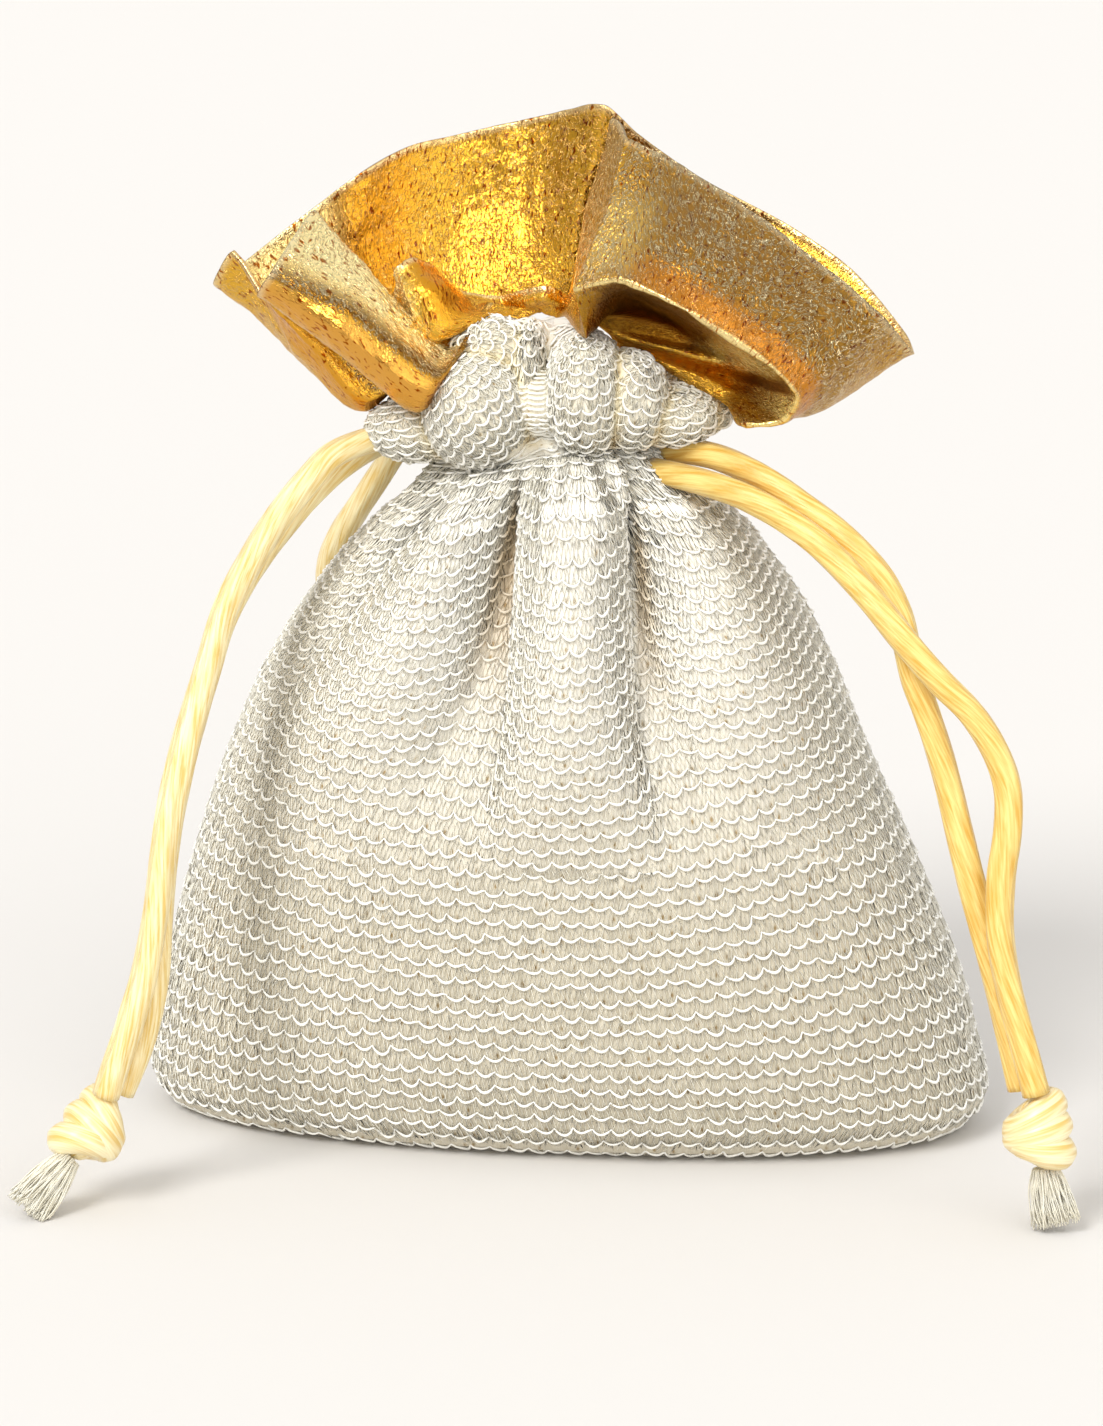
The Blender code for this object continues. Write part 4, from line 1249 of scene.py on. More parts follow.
@dataclass(frozen=True)
class Rib:
    """One line of the sheet's cage, from the seam outwards: seam angle in degrees, then
    (x, y, height above the neck) of the points that follow. `fold` sharpens the turn at the
    middle point, and `crease` the one across the rib, each from 0 to 1. `high` is halfway up
    to the rim where it isn't given."""

    angle: float
    low: tuple
    mid: tuple
    rim: tuple
    high: tuple = None
    fold: float = 0.0
    crease: float = 0.0


@dataclass(frozen=True)
class Patch:
    """A soft patch of painted light and shade on the sheet: its middle and reach in degrees round
    the seam and in share of the way to the rim, its colour, how strongly it shows, and how pebbled
    the sheet is there."""

    angle: float
    share: float
    angle_reach: float
    share_reach: float
    colour: tuple
    strength: float = 1.0
    pebbles: float = 0.0


SPANS = 4  # Between the five points of a rib


@dataclass
class MetallicCollar:
    """The crumpled sheet sewn to the ruffle's top edge."""

    form: PouchForm
    thickness: float = 0.45
    seam_clearance: float = 0.7
    cad_thickness: float = 0.8
    columns_per_rib: int = 12
    rows_per_span: int = 14
    hem_width: float = 0.8
    slack_across: float = 0.40
    slack_along: float = 0.36
    hem_fullness: float = 0.6
    rim_highlight_strength: float = 0.35
    ground_pebbles: float = 0.12
    crumples: tuple = (
        (0.42, (0.16, 0.16, 0.05)), (0.20, (0.45, 0.45, 0.16)), (0.12, (0.9, 0.9, 0.9)))
    cut: tuple = (254.0, 32.0)
    cut_area: float = 6300.0
    ribs: tuple = (
        # Right flap, which overhangs the ruffle in a rolled lip
        Rib(28, (3.8, -12.9, 14.8), (2.5, -15, 21.2), (7.6, -2, 38.4), (6.0, -9.2, 30.2),
            0.8, 0.85),
        Rib(38, (7.5, -6, 17.6), (8.6, -17.8, 22.8), (13.8, -3, 35.5), (10.9, -11, 29.2), 0.85),
        Rib(50, (13.5, -3, 15.5), (16.3, -20.4, 20.0), (22.7, -6, 30.6), (19.5, -14.5, 25.4),
            0.85),
        Rib(62, (17.0, -2.5, 12.3), (25.0, -20.2, 14.8), (31.6, -8, 24.4), (28.0, -15.5, 19.9),
            0.85),
        Rib(68, (20.4, -6.4, 11.0), (28.4, -19.4, 11.9), (36.0, -8, 21.2), (32.0, -14.8, 16.6),
            0.85),
        Rib(74, (21.0, -3.6, 8.6), (30.5, -17.8, 8.8), (39.8, -8, 18.0), (35.0, -13.8, 13.0),
            0.85),
        Rib(80, (22.0, -7.4, 7.4), (28.6, -15.2, 5.2), (42.0, -5, 15.0), (35.0, -11.0, 8.8),
            0.7),
        Rib(88, (19.6, -6.8, 6.6), (23.2, -12.0, 4.4), (43.8, -0.5, 12.0), (33.6, -6.6, 6.0),
            0.6),
        # Back right, hidden in the photograph
        Rib(100, (21.0, 1, 8.8), (29, 3, 6.8), (42.5, 5, 13.5)),
        Rib(115, (19, 7, 9.8), (27, 11, 14.5), (35.5, 12.5, 20)),
        Rib(132, (15, 11.5, 13.5), (20, 16, 20.5), (26, 17.5, 25.5)),
        Rib(150, (9, 13, 16.5), (12.5, 17, 25), (15.5, 17, 31)),
        # Back wall
        Rib(166, (3.5, 10.5, 18), (5, 13, 27), (8, 12, 37)),
        Rib(178, (-0.5, 8, 18.5), (0.5, 9.5, 28), (3.4, 10, 41.2)),
        Rib(190, (-4, 8, 18.5), (-4.5, 12, 29), (-3, 15, 39.6)),
        Rib(204, (-9, 8.5, 17.5), (-10.3, 13.5, 27.8), (-10.2, 16.5, 37.8)),
        Rib(218, (-14.5, 8.5, 15.5), (-16.9, 13.5, 26.4), (-16.8, 16.5, 36.2)),
        Rib(232, (-19, 7.5, 13), (-23, 11, 23.6), (-22.6, 14, 35)),
        Rib(246, (-22, 6, 11.5), (-27, 9, 20.5), (-28.2, 10, 32)),
        # Left corner
        Rib(257, (-24, 4.5, 9.5), (-31, 8, 17.0), (-34.2, 9.5, 27.5)),
        Rib(265, (-26.5, 3.5, 7.5), (-34.5, 7, 14.0), (-39.6, 8, 23.4)),
        Rib(272, (-27.5, 0, 4.4), (-36, 1, 10.6), (-45.6, 1, 18.8)),
        Rib(279, (-25.3, -5.4, 3.9), (-34.4, -4, 10.8), (-42.5, -3.5, 23.6), crease=0.5),
        Rib(286, (-24.2, -7.6, 5.4), (-31.4, -7.6, 12.0), (-38.8, -7.5, 19.2), crease=0.4),
        # Left flute, a tube that lies over the ruffle, with the panel under it set back
        Rib(291, (-21.5, -7.4, 6.4), (-29.2, -6.8, 12.4), (-38.3, -8.2, 18.7)),
        Rib(295, (-18.4, -7.4, 5.2), (-27.8, -7.0, 12.1), (-38.2, -9.0, 18.9), crease=0.8),
        Rib(298, (-16.8, -15.0, 5.7), (-27.0, -14.4, 12.7), (-37.9, -11.2, 19.3), crease=0.3),
        Rib(302, (-15.3, -17.2, 8.4), (-26.0, -16.6, 15.3), (-37.2, -12.6, 20.6)),
        Rib(305, (-14.5, -15.8, 10.4), (-25.0, -15.2, 17.6), (-35.9, -13.2, 22.3), crease=0.3),
        Rib(307, (-14.0, -12.2, 11.5), (-24.0, -12.2, 19.4), (-34.6, -10.0, 24.8)),
        Rib(309, (-14.2, -8.8, 12.2), (-23.0, -8.0, 20.4), (-32.6, -1.0, 28.3), crease=0.8),
        # Front hem with a standing tongue and a small pleat
        Rib(312, (-16.4, -7.2, 11.8), (-19.8, -5.8, 14.0), (-23.4, -4.6, 17.0), crease=0.5),
        Rib(316, (-16.6, -8.6, 13.2), (-18.9, -7.4, 16.4), (-21.1, -5.6, 19.8), crease=0.5),
        Rib(321, (-15.5, -10.8, 14.2), (-18.6, -9.8, 18.6), (-20.9, -7.0, 22.2)),
        Rib(326, (-14.0, -10.8, 15.6), (-16.4, -9.8, 20.0), (-19.0, -6.0, 23.2)),
        Rib(331, (-12.4, -9.0, 16.6), (-14.2, -7.4, 19.9), (-17.0, -4.0, 22.0)),
        Rib(336, (-10.9, -5.6, 17.0), (-12.0, -4.0, 17.9), (-13.8, -2.6, 18.6), crease=0.5),
        Rib(344, (-7.8, -3.4, 17.2), (-8.2, -3.0, 17.7), (-8.8, -2.4, 18.2)),
        Rib(352, (-5, -4.6, 17.2), (-5.2, -5.4, 18.0), (-5.4, -4.8, 19.2)),
        Rib(364, (-2, -5.5, 17.4), (-1.9, -7.2, 18.8), (-1.6, -6.6, 20.2)),
        Rib(374, (0.3, -5.0, 17.0), (0.8, -4.8, 17.8), (1.2, -3.6, 18.8), crease=0.6),
        Rib(383, (1.4, -9.4, 18.6), (2.6, -4.2, 28), (5.2, 4.0, 39.8), crease=0.5),
    )
    gold: tuple = linear(222, 170, 58)
    # Painted highlight along the rim's rolled hem
    pale: tuple = linear(255, 244, 206)
    # Patches of painted light and shade on the gold; their pebbling is the sheet's own
    painted_light_and_pebble_patches: tuple = (
        # Right flap, painted light: a brown pebbled face for its darker reflection, a paler strip
        # by the ridge for its highlight, and smooth orange above the lip, painted shade where it
        # turns under
        Patch(56, 0.78, 33, 0.34, linear(158, 114, 46), 1.0, 1.0),
        Patch(60, 0.58, 26, 0.07, linear(204, 132, 50), 0.9, 0.1),
        Patch(34, 0.68, 6, 0.16, linear(222, 184, 98), 0.8, 1.0),
        # Painted shade in the deep cavity under the lip, painted highlights on the bright pocket
        # beside it and its outer fold, and painted shade in the valley between its folds
        Patch(42, 0.26, 15, 0.20, linear(92, 46, 6), 0.95),
        Patch(64, 0.35, 6.0, 0.12, linear(255, 232, 146), 1.0, 0.6),
        Patch(72, 0.38, 2.2, 0.11, linear(132, 78, 14), 0.9),
        Patch(77, 0.42, 2.8, 0.10, linear(255, 228, 140), 0.95, 0.4),
        # Painted highlight along the rolled edge of the lip
        Patch(52, 0.497, 30, 0.026, linear(255, 234, 166), 1.0),
        Patch(82, 0.50, 8, 0.03, linear(250, 222, 142), 1.0),
        # Back wall: painted shade and warm reflection, deeper and more orange at its ends
        Patch(196, 0.66, 30, 0.42, linear(204, 152, 50), 0.7, 0.2),
        Patch(242, 0.55, 14, 0.5, linear(202, 132, 26), 0.8, 0.1),
        Patch(164, 0.6, 9, 0.5, linear(196, 134, 36), 0.8, 0.5),
        # Left flute, painted light: smooth orange front, painted shade in a dark line along it,
        # painted highlight on its pale crest, painted shade in the crease under it; then the panel
        # under it and a painted highlight on the left corner
        Patch(301, 0.6, 3.0, 0.6, linear(218, 158, 72), 0.9),
        Patch(305, 0.6, 1.0, 0.6, linear(118, 76, 18), 0.9, 0.9),
        Patch(308.4, 0.6, 2.4, 0.6, linear(255, 238, 176), 0.95, 0.3),
        Patch(295, 0.6, 1.2, 0.6, linear(140, 86, 20), 0.9),
        Patch(291, 0.6, 1.4, 0.6, linear(240, 194, 96), 0.8, 0.9),
        Patch(284, 0.6, 4.0, 0.6, linear(212, 146, 46), 0.8),
        Patch(262, 0.75, 9, 0.4, linear(255, 232, 160), 0.8, 0.1),
        # Tongue: painted highlight on its left crumples, painted shade to the right
        Patch(318, 0.7, 4.0, 0.5, linear(255, 226, 136), 0.8, 0.5),
        Patch(329, 0.7, 5.0, 0.5, linear(214, 140, 26), 0.8),
    )

    def seam_point(self, angle: float) -> np.ndarray:
        """Where a rib starts: just above the ruffle's top, inside its edge."""
        lift = self.seam_clearance + self.cad_thickness / 2
        return self.form.seam_edge(np.array([float(angle)]))[0] + np.array([0, 0, lift])

    def cage(self) -> np.ndarray:
        """The sheet's cage: (ribs, 5, 3) points, seam to rim."""
        above = np.array([0, 0, self.form.neck_height])
        columns = []
        for rib in self.ribs:
            low, mid, rim = (np.array(point, float) + above
                             for point in (rib.low, rib.mid, rib.rim))
            high = np.array(rib.high, float) + above if rib.high else (mid + rim) / 2
            columns.append([self.seam_point(rib.angle), low, mid, high, rim])
        return np.array(columns)

    @staticmethod
    def through(points: np.ndarray, slopes: np.ndarray, at: np.ndarray,
                closed: bool) -> np.ndarray:
        """Curves that run through points with given slopes.

        Args:
            points: the points, along the first axis.
            slopes: the slope at each point.
            at: places to find, in points.
            closed: whether the last point joins the first.

        Returns:
            One row for each place.
        """
        count = len(points)
        first = np.minimum(np.floor(at).astype(int), count - 1 if closed else count - 2)
        second = (first + 1) % count
        t = (at - first).reshape(-1, *[1] * (points.ndim - 1))
        rise = 3 * t**2 - 2 * t**3
        return points[first] * (1 - rise) + points[second] * rise \
            + slopes[first] * (t**3 - 2 * t**2 + t) + slopes[second] * (t**3 - t**2)

    def spread(self, across: np.ndarray, along: np.ndarray) -> np.ndarray:
        """Points of the sheet through its cage.

        Args:
            across: places round the sheet, in ribs.
            along: places from the seam, 0, to the rim, 4.

        Returns:
            (len(across), len(along), 3) points.
        """
        cage = self.cage().transpose(1, 0, 2)
        slopes = np.gradient(cage, axis=0) * 2 * self.slack_along
        slopes[2] *= (1 - np.array([rib.fold for rib in self.ribs]))[:, None]
        lines = self.through(cage, slopes, along, False).transpose(1, 0, 2)
        turns = (np.roll(lines, -1, axis=0) - np.roll(lines, 1, axis=0)) * self.slack_across
        turns *= (1 - np.array([rib.crease for rib in self.ribs]))[:, None, None]
        return self.through(lines, turns, across, True)

    def angles(self, across: np.ndarray) -> np.ndarray:
        """Seam angle at each place round the sheet."""
        known = np.array([rib.angle for rib in self.ribs] + [self.ribs[0].angle + 360])
        return np.interp(across, np.arange(len(known)), known)

    def colours(self, across: np.ndarray, share: np.ndarray) -> tuple:
        """Gold with its painted light and shade, and pebbling, of each point of the sheet."""
        tint = np.broadcast_to(np.array(self.gold), (len(across), len(share), 3)).copy()
        pebbles = np.full((len(across), len(share), 1), self.ground_pebbles)
        angle = self.angles(across)
        for patch in self.painted_light_and_pebble_patches:
            off = (np.remainder(angle - patch.angle + 180, 360) - 180) / patch.angle_reach
            up = (share[None] - patch.share) / patch.share_reach
            near = np.exp(-((off[:, None]**2) ** 2) - (up**2) ** 2)[..., None]
            tint += (np.array(patch.colour) - tint) * patch.strength * near
            pebbles += (patch.pebbles - pebbles) * near
        return tint, pebbles

    def crumple(self, points: np.ndarray) -> np.ndarray:
        """Small creases: how far each point moves along the sheet's normal."""
        offset = [
            sum(depth * noise.noise(Vector(p * scale)) for depth, scale in self.crumples)
            for p in points.reshape(-1, 3)
        ]
        return np.array(offset).reshape(points.shape[:2])

    def sheet(self, name: str) -> bpy.types.Object:
        """The sheet with its two faces and edges."""
        count = len(self.ribs) * self.columns_per_rib
        across = np.arange(count) / self.columns_per_rib
        along = np.linspace(0, SPANS, SPANS * self.rows_per_span + 1)
        share = along / SPANS
        points = self.spread(across, along)
        east = np.roll(points, -1, axis=0) - np.roll(points, 1, axis=0)
        normals = unit(np.cross(east, np.gradient(points, axis=1)))
        points = points + normals * (self.crumple(points) * smoothstep(0, 0.2, share))[..., None]
        middle_row = SPANS // 2 * self.rows_per_span
        run = np.linalg.norm(np.roll(points, -1, axis=0) - points, axis=2)[:, middle_row]
        width = np.concatenate([[0], np.cumsum(run)[:-1]])
        height = np.concatenate([np.zeros((count, 1)), np.cumsum(
            np.linalg.norm(np.diff(points, axis=1), axis=2), axis=1)], axis=1)
        hem = np.exp(-(((height[:, -1:] - height) / self.hem_width) ** 4))
        half = self.thickness / 2 * (1 + self.hem_fullness * hem)
        tint, pebbles = self.colours(across, share)
        # Painted highlight along the rim
        tint = tint + (np.array(self.pale) - tint) * self.rim_highlight_strength * hem[..., None]
        tint = np.concatenate([tint, pebbles], axis=-1)
        uv = np.stack([np.broadcast_to(width[:, None], height.shape), height], axis=-1)
        rows = len(along)
        total = count * rows
        i, j = np.arange(count)[:, None], np.arange(rows - 1)[None, :]
        after = (i + 1) % count
        outer = np.stack([i * rows + j, after * rows + j, after * rows + j + 1,
                          i * rows + j + 1], axis=-1).reshape(-1, 4)
        k = np.arange(count)
        n = (k + 1) % count
        foot = np.stack([k * rows + total, n * rows + total, n * rows, k * rows], axis=1)
        tip = rows - 1
        head = np.stack([k * rows + tip, n * rows + tip, n * rows + tip + total,
                         k * rows + tip + total], axis=1)
        both = np.concatenate([(points + normals * half[..., None]).reshape(-1, 3),
                               (points - normals * half[..., None]).reshape(-1, 3)])
        faces = np.concatenate([outer, outer[:, ::-1] + total, foot, head])
        return add_mesh(name, both, [faces], np.tile(uv.reshape(-1, 2), (2, 1)),
                        np.tile(tint.reshape(-1, 4), (2, 1)))

    def build(self) -> None:
        """Builds and dresses the collar."""
        piece = dress(self.sheet("metallic_collar"), FoilFinish().material("gold_foil_cloth"),
                      Slot.SHEET)
        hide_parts("gold_collar")


@dataclass(frozen=True)
class Run:
    """One free run of a drawstring and the CAD node it stands for."""

    node: str
    side: Side
    far_end: str
    route: tuple


@dataclass
class Drawstrings:
    """Free runs of satin cord from the neck to the knots, and the slack behind."""

    diameter: float = 3.5
    sides: int = 26
    points_per_run: int = 110
    fibre_relief: float = 0.05
    twist: float = 0.05
    waves: tuple = ((9, 0.0, 0.0, 0.5), (5, 0.0, 1.3, 0.6), (2, 0.06, 2.0, 0.7))
    lean: float = 0.014
    runs: tuple = (
        Run("drawstring_left_front", Side.LEFT, "knot", (
            (-19.6, -3.6, 90.4), (-23.4, -6.6, 90.9), (-28.3, -10.8, 89.6), (-30.9, -13.0, 87.2),
            (-34.8, -17.0, 82.4), (-37.8, -21.0, 77.2), (-40.2, -25.0, 72.0),
            (-41.6, -28.0, 66.5), (-42.9, -31.0, 61.0), (-44.2, -33.5, 55.3),
            (-45.3, -36.2, 49.0), (-45.9, -38.2, 43.8), (-46.5, -40.3, 37.0),
            (-47.6, -42.4, 29.8), (-49.2, -43.6, 24.2), (-50.9, -44.4, 19.0),
            (-52.4, -44.6, 14.4))),
        Run("drawstring_left_rear", Side.LEFT, "knot", (
            (-18.4, 2.6, 90.0), (-22.6, -0.8, 89.8), (-27.0, -4.5, 88.0), (-31.4, -8.6, 84.6),
            (-35.4, -12.6, 80.0), (-38.7, -16.4, 75.0), (-41.2, -20.4, 69.8),
            (-42.7, -23.4, 64.4), (-44.0, -26.4, 58.9), (-45.2, -28.8, 53.3),
            (-46.2, -31.6, 47.2), (-46.7, -34.0, 41.0), (-46.8, -36.4, 35.2),
            (-46.9, -38.2, 29.6), (-47.6, -39.4, 24.8), (-49.0, -40.5, 19.4),
            (-51.2, -41.5, 13.8))),
        Run("drawstring_right_rear", Side.RIGHT, "knot", (
            (13.4, -4.6, 89.9), (19.4, -9.0, 90.0), (25.4, -12.6, 88.4), (31.4, -16.0, 85.2),
            (36.9, -19.0, 81.7), (41.1, -21.2, 77.8), (43.5, -22.8, 73.9), (44.8, -24.0, 70.0),
            (46.0, -25.2, 65.6), (47.7, -26.6, 61.4), (49.9, -28.6, 55.4), (51.9, -30.6, 48.4),
            (53.7, -32.2, 42.0), (55.5, -33.4, 35.6), (57.9, -34.6, 27.0),
            (60.4, -35.9, 17.0))),
        Run("drawstring_right_front", Side.RIGHT, "knot", (
            (11.6, -7.4, 87.6), (18.0, -12.8, 87.5), (23.8, -16.0, 86.4), (29.6, -19.0, 84.0),
            (34.8, -22.0, 80.8), (39.8, -25.0, 76.4), (44.8, -28.0, 71.2), (49.3, -29.8, 66.6),
            (53.3, -30.8, 62.8), (56.2, -31.8, 58.6), (57.8, -32.8, 54.2), (58.0, -33.9, 49.4),
            (57.3, -35.6, 43.4), (57.4, -37.0, 36.8), (58.8, -38.0, 30.0), (60.6, -38.7, 23.6),
            (62.3, -39.2, 17.5))),
        Run("slack_loop", Side.LEFT, "object", (
            (-18.6, 5.4, 90.2), (-22.6, 9.0, 87.8), (-26.0, 12.2, 83.0), (-30.0, 15.2, 77.2),
            (-33.4, 18.2, 71.6), (-35.0, 21.4, 66.4), (-34.4, 24.6, 61.4), (-31.4, 27.4, 57.8),
            (-27.0, 29.2, 56.8), (-22.6, 29.8, 58.6), (-19.6, 29.0, 63.2), (-17.6, 27.0, 69.2),
            (-15.8, 24.0, 75.4), (-14.0, 20.4, 81.4), (-12.4, 17.0, 86.2), (-11.0, 11.6, 89.4))),
    )

    def strand(self, run: Run) -> tuple:
        """One run as a cord with fine fibres standing along it, in waves round it.

        Args:
            run: the run to make.

        Returns:
            (piece, path) with the path in millimetres.
        """
        path = smooth_route(run.route, self.points_per_run)
        normals = carried_normals(path)
        length = np.linspace(0, route_length(path), self.points_per_run)[:, None]
        turn = math.tau * np.arange(self.sides)[None] / self.sides
        twist = turn + self.twist * length
        relief = sum(np.cos(times * twist + drift * length + phase) * depth
                     for times, drift, phase, depth in self.waves)
        radius = self.diameter / 2 * (1 - self.fibre_relief * 0.6 + self.fibre_relief * relief)
        cord = Tubes(sides=self.sides)
        cord.add(path, normals, radius, WHITE, capped=True)
        cord.uv[0][:, 0] += cord.uv[0][:, 1] * self.lean
        return cord.piece(f"cord_{run.node}"), path

    def build(self) -> None:
        """Builds and dresses every run."""
        finishes = {Side.LEFT: LEFT_SATIN.material("gold_satin_painted_highlight"),
                    Side.RIGHT: RIGHT_SATIN.material("gold_satin")}
        for run in self.runs:
            piece, path = self.strand(run)
            dress(piece, finishes[run.side], Slot.CORD)
            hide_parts(run.node)
            points = path * MM
            tuple(points[0])
            [tuple(p) for p in points]


@dataclass(frozen=True)
class Ending:
    """A knot and its frayed end: centre of the knot, where the end meets the ground, and the
    tilt of the knot's first wrap in degrees."""

    side: Side
    knot: tuple
    end: tuple
    lean: float


@dataclass
class CordEnds:
    """Overhand knots and the frayed fibres below them."""

    wraps: tuple = ((1.0, 1.9), (-1.0, -1.6), (0.3, 0.1))
    wrap_sides: int = 20
    wrap_points: int = 72
    core_points: int = 17
    wrap_radius: float = 2.1
    ring_radius: float = 2.45
    stretch: float = 1.75
    fibre_count: int = 260
    fibre_radius: float = 0.11
    bundle_start: float = 1.5
    bundle_width: float = 3.1
    bundle_depth: float = 1.7
    seed: int = 21
    endings: tuple = (
        Ending(Side.LEFT, (-54.4, -43.9, 9.4), (-60.9, -50.4, 1.9), 34),
        Ending(Side.RIGHT, (62.6, -38.0, 12.2), (65.0, -39.6, 1.9), -30),
    )

    def axes(self, ending: Ending) -> tuple:
        """Centre and axes of a knot: across, through and up from its end."""
        centre, end = np.array(ending.knot, float), np.array(ending.end, float)
        up = unit(centre - end)
        across = unit(np.cross(up, np.array([0.0, -1.0, 0.0])))
        return centre, across, np.cross(up, across), up

    def knot(self, ending: Ending) -> bpy.types.Object:
        """A tight overhand knot: fat wraps, each (share of the lean, height), over a core."""
        centre, across, through, up = self.axes(ending)
        wraps = Tubes(sides=self.wrap_sides)
        turn = np.linspace(0, math.tau, self.wrap_points, endpoint=False)
        for number, (share, rise) in enumerate(self.wraps):
            tilt = math.radians(ending.lean * share)
            flat_x = self.ring_radius * np.cos(turn)
            flat_y = self.ring_radius * np.sin(turn)
            local = np.stack([flat_x * math.cos(tilt), flat_y,
                              rise - flat_x * math.sin(tilt)], axis=1)
            path = centre + local @ np.stack([across, through, up])
            normals = np.broadcast_to(up, path.shape)
            ridges = np.arange(self.wrap_sides)[None] * math.tau / self.wrap_sides
            radius = self.wrap_radius * (1 + 0.025 * np.cos(7 * ridges + 2 * turn[:, None])
                                         + 0.05 * np.cos(turn[:, None] * 2 + number))
            wraps.add(path, normals, radius, WHITE, closed=True)
        core_at = np.linspace(-1, 1, self.core_points)
        core = centre + up * (core_at * self.ring_radius * self.stretch)[:, None]
        radius = self.ring_radius * np.sqrt(np.maximum(1 - core_at**2, 0.0)) * 0.98 + 0.03
        wraps.add(core, np.broadcast_to(through, core.shape), radius, WHITE, capped=True)
        return wraps.piece(f"overhand_knot_{ending.side.value}")

    def frayed_end(self, ending: Ending, random: np.random.Generator) -> bpy.types.Object:
        """A brush of loose fibres from the knot to the ground."""
        centre, across, through, up = self.axes(ending)
        start = centre - up * (self.ring_radius * self.stretch + 0.1)
        end = np.array(ending.end, float)
        fibres = Tubes(sides=4)
        along = np.linspace(0, 1, 12)[:, None]
        for _ in range(self.fibre_count):
            turn, reach = random.uniform(0, math.tau), math.sqrt(random.uniform(0, 1))
            place = np.array([math.cos(turn), math.sin(turn)]) * reach
            root = start + (across * place[0] + through * place[1]) * self.bundle_start
            tip = end + across * place[0] * self.bundle_width + through * place[1] \
                * self.bundle_depth - up * random.uniform(-0.3, 1.2)
            sway = np.sin(along * math.pi) * random.normal(0, 0.28, 3) \
                + np.sin(along * math.tau) * random.normal(0, 0.12, 3)
            path = root + (tip - root) * along**0.9 + sway
            path[:, 2] = np.maximum(path[:, 2], self.fibre_radius + 0.05)
            shade = random.uniform(0.88, 1.0)
            fibres.add(path, carried_normals(path, (0.3, 0.8, 0.2)),
                       self.fibre_radius * (1.1 - 0.3 * along[:, 0]), WHITE * shade, capped=True)
        return fibres.piece(f"frayed_end_{ending.side.value}")

    def build(self) -> None:
        """Builds and dresses both knots and both frayed ends."""
        random = np.random.default_rng(self.seed)
        cord = KNOTTED_SATIN.material("knotted_satin")
        frayed = FRAYED_SATIN.material("frayed_satin")
        for ending in self.endings:
            knot = dress(self.knot(ending), cord, Slot.CORD)
            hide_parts(f"knot_{ending.side.value}")
            brush = dress(self.frayed_end(ending, random), frayed, Slot.FRAYED)
            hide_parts(f"tassel_{ending.side.value}")


@dataclass(frozen=True)
class Sun:
    """A soft sun: where it shines from, its strength and its spread in degrees."""

    name: str
    position: tuple
    strength: float
    spread: float


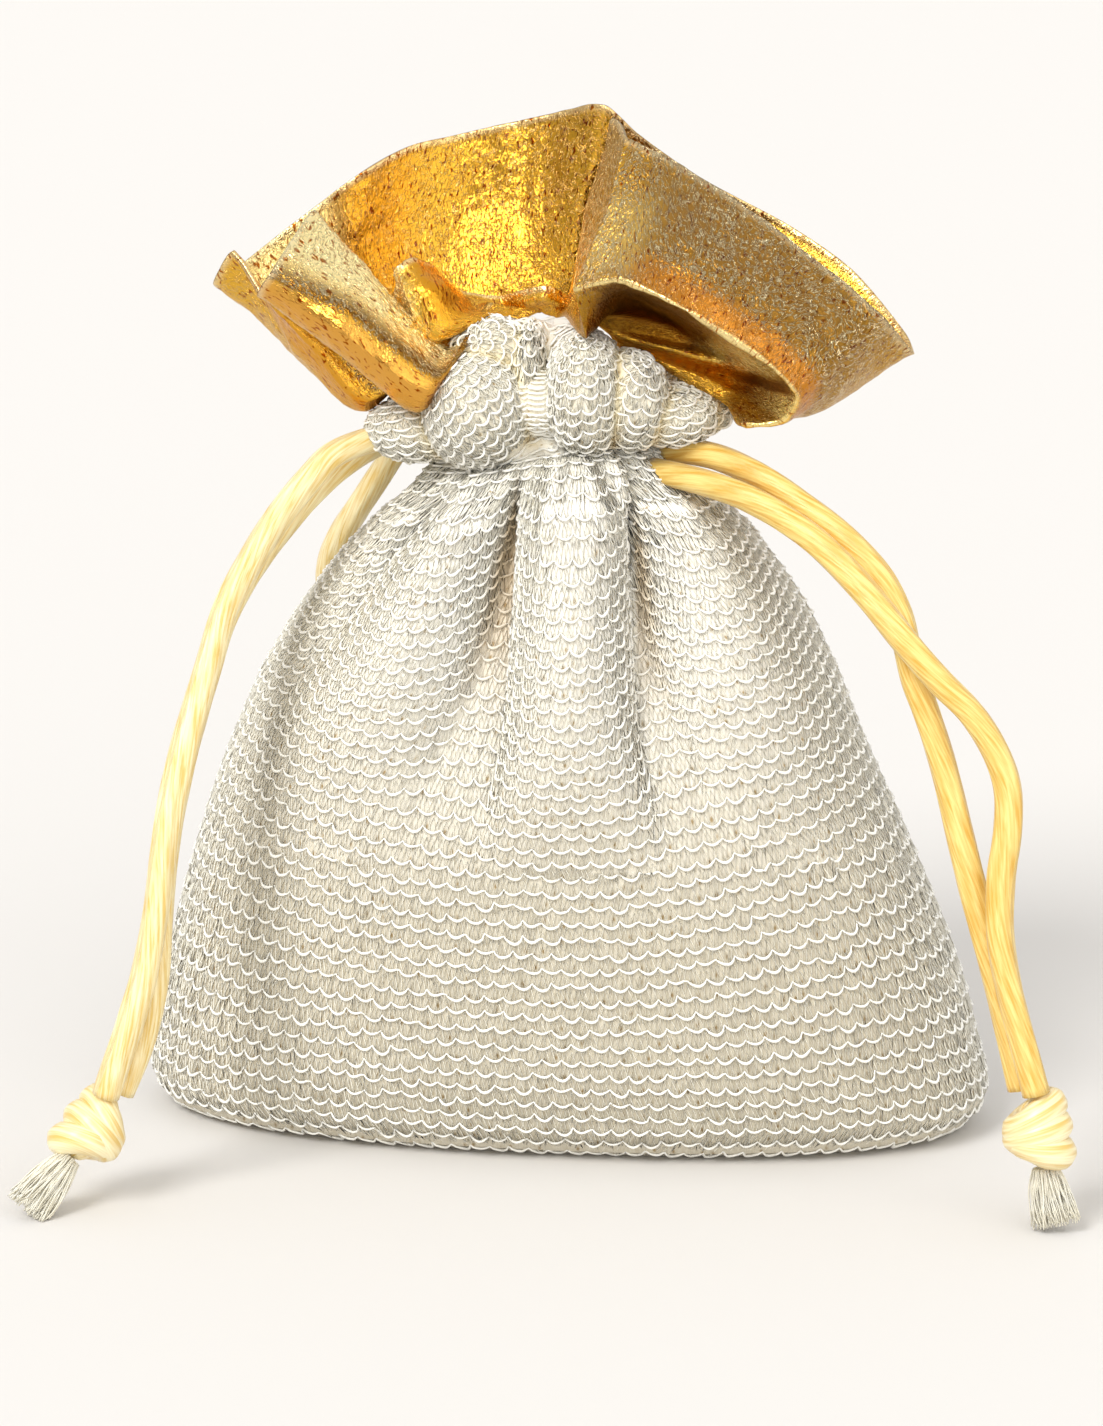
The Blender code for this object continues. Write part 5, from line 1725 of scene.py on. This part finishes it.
@dataclass
class Studio:
    """Camera, floor and light."""

    eye: tuple = (68.8, -578.1, 199.0)
    target: tuple = (-2.1, -0.3, 53.9)
    distance: float = 600.0
    pixel_mm: float = 0.13
    sensor: float = 36.0
    floor_size: float = 8.0
    floor_colour: tuple = linear(221, 218, 214)
    horizon: tuple = (0.36, 0.35, 0.33, 1)
    zenith: tuple = (0.95, 0.95, 0.95, 1)
    zenith_from: float = 0.75
    suns: tuple = (
        Sun("key_sun", (-0.5, -0.8, 0.9), 1.9, 25.0),
        Sun("fill_sun", (0.8, -0.9, 0.5), 0.8, 60.0),
        Sun("front_sun", (0.1, -1.0, 0.1), 0.5, 40.0),
    )

    def camera(self) -> None:
        """The photograph's camera."""
        data = bpy.data.cameras.new("photo_camera")
        data.sensor_fit = "VERTICAL"
        data.sensor_height = self.sensor
        data.sensor_width = self.sensor
        data.lens = self.sensor * self.distance / (PHOTO_HEIGHT_PX * self.pixel_mm)
        data.clip_start, data.clip_end = 0.01, 50
        camera = bpy.data.objects.new("photo_camera", data)
        bpy.context.scene.collection.objects.link(camera)
        eye, target = Vector(self.eye) * MM, Vector(self.target) * MM
        camera.location = eye
        camera.rotation_mode = "QUATERNION"
        camera.rotation_quaternion = (eye - target).to_track_quat("Z", "Y")
        bpy.context.scene.camera = camera

    def floor(self) -> None:
        """A plain pale floor that keeps the bag's shadow."""
        half = self.floor_size / 2 / MM
        corners = np.array([(-half, -half, 0), (half, -half, 0), (half, half, 0), (-half, half, 0)])
        floor = add_mesh("studio_floor", corners, [np.array([[0, 1, 2, 3]])])
        shader = Shader("floor_paper")
        shader.surface.inputs["Base Color"].default_value = (*self.floor_colour, 1)
        shader.set(Roughness=0.9, Specular_IOR_Level=0.0)
        floor.data.materials.append(shader.material)

    def light(self) -> None:
        """A pale world that dims towards the horizon, and soft suns from the front."""
        world = bpy.data.worlds.new("studio_world")
        bpy.context.scene.world = world
        world.use_nodes = True
        tree = world.node_tree
        background = tree.nodes["Background"]
        coordinates = tree.nodes.new("ShaderNodeTexCoord")
        split = tree.nodes.new("ShaderNodeSeparateXYZ")
        ramp = tree.nodes.new("ShaderNodeValToRGB")
        tree.links.new(coordinates.outputs["Generated"], split.inputs["Vector"])
        tree.links.new(split.outputs["Z"], ramp.inputs["Fac"])
        tree.links.new(ramp.outputs["Color"], background.inputs["Color"])
        elements = ramp.color_ramp.elements
        elements[0].position, elements[0].color = 0.0, self.horizon
        elements[1].position, elements[1].color = self.zenith_from, self.zenith
        background.inputs["Strength"].default_value = 1.0
        for sun in self.suns:
            data = bpy.data.lights.new(sun.name, "SUN")
            data.energy = sun.strength
            data.angle = math.radians(sun.spread)
            lamp = bpy.data.objects.new(sun.name, data)
            lamp.rotation_mode = "QUATERNION"
            lamp.rotation_quaternion = Vector(sun.position).to_track_quat("Z", "Y")
            bpy.context.scene.collection.objects.link(lamp)

    def build(self) -> None:
        """Sets the stage and plain colour handling."""
        self.floor()
        self.light()
        bpy.context.scene.view_settings.view_transform = "Standard"


def main() -> None:
    """Builds the bag piece by piece."""
    logging.basicConfig(level=logging.INFO, format="%(name)s %(message)s")
    studio = Studio()
    studio.camera()
    form = PouchForm()
    for label, maker in (("drawstrings", Drawstrings()), ("cord ends", CordEnds()),
                         ("pouch", KnittedPouch(form)), ("collar", MetallicCollar(form))):
        maker.build()
        log.info("%s done", label)
    studio.build()


if __name__ == "__main__":
    main()
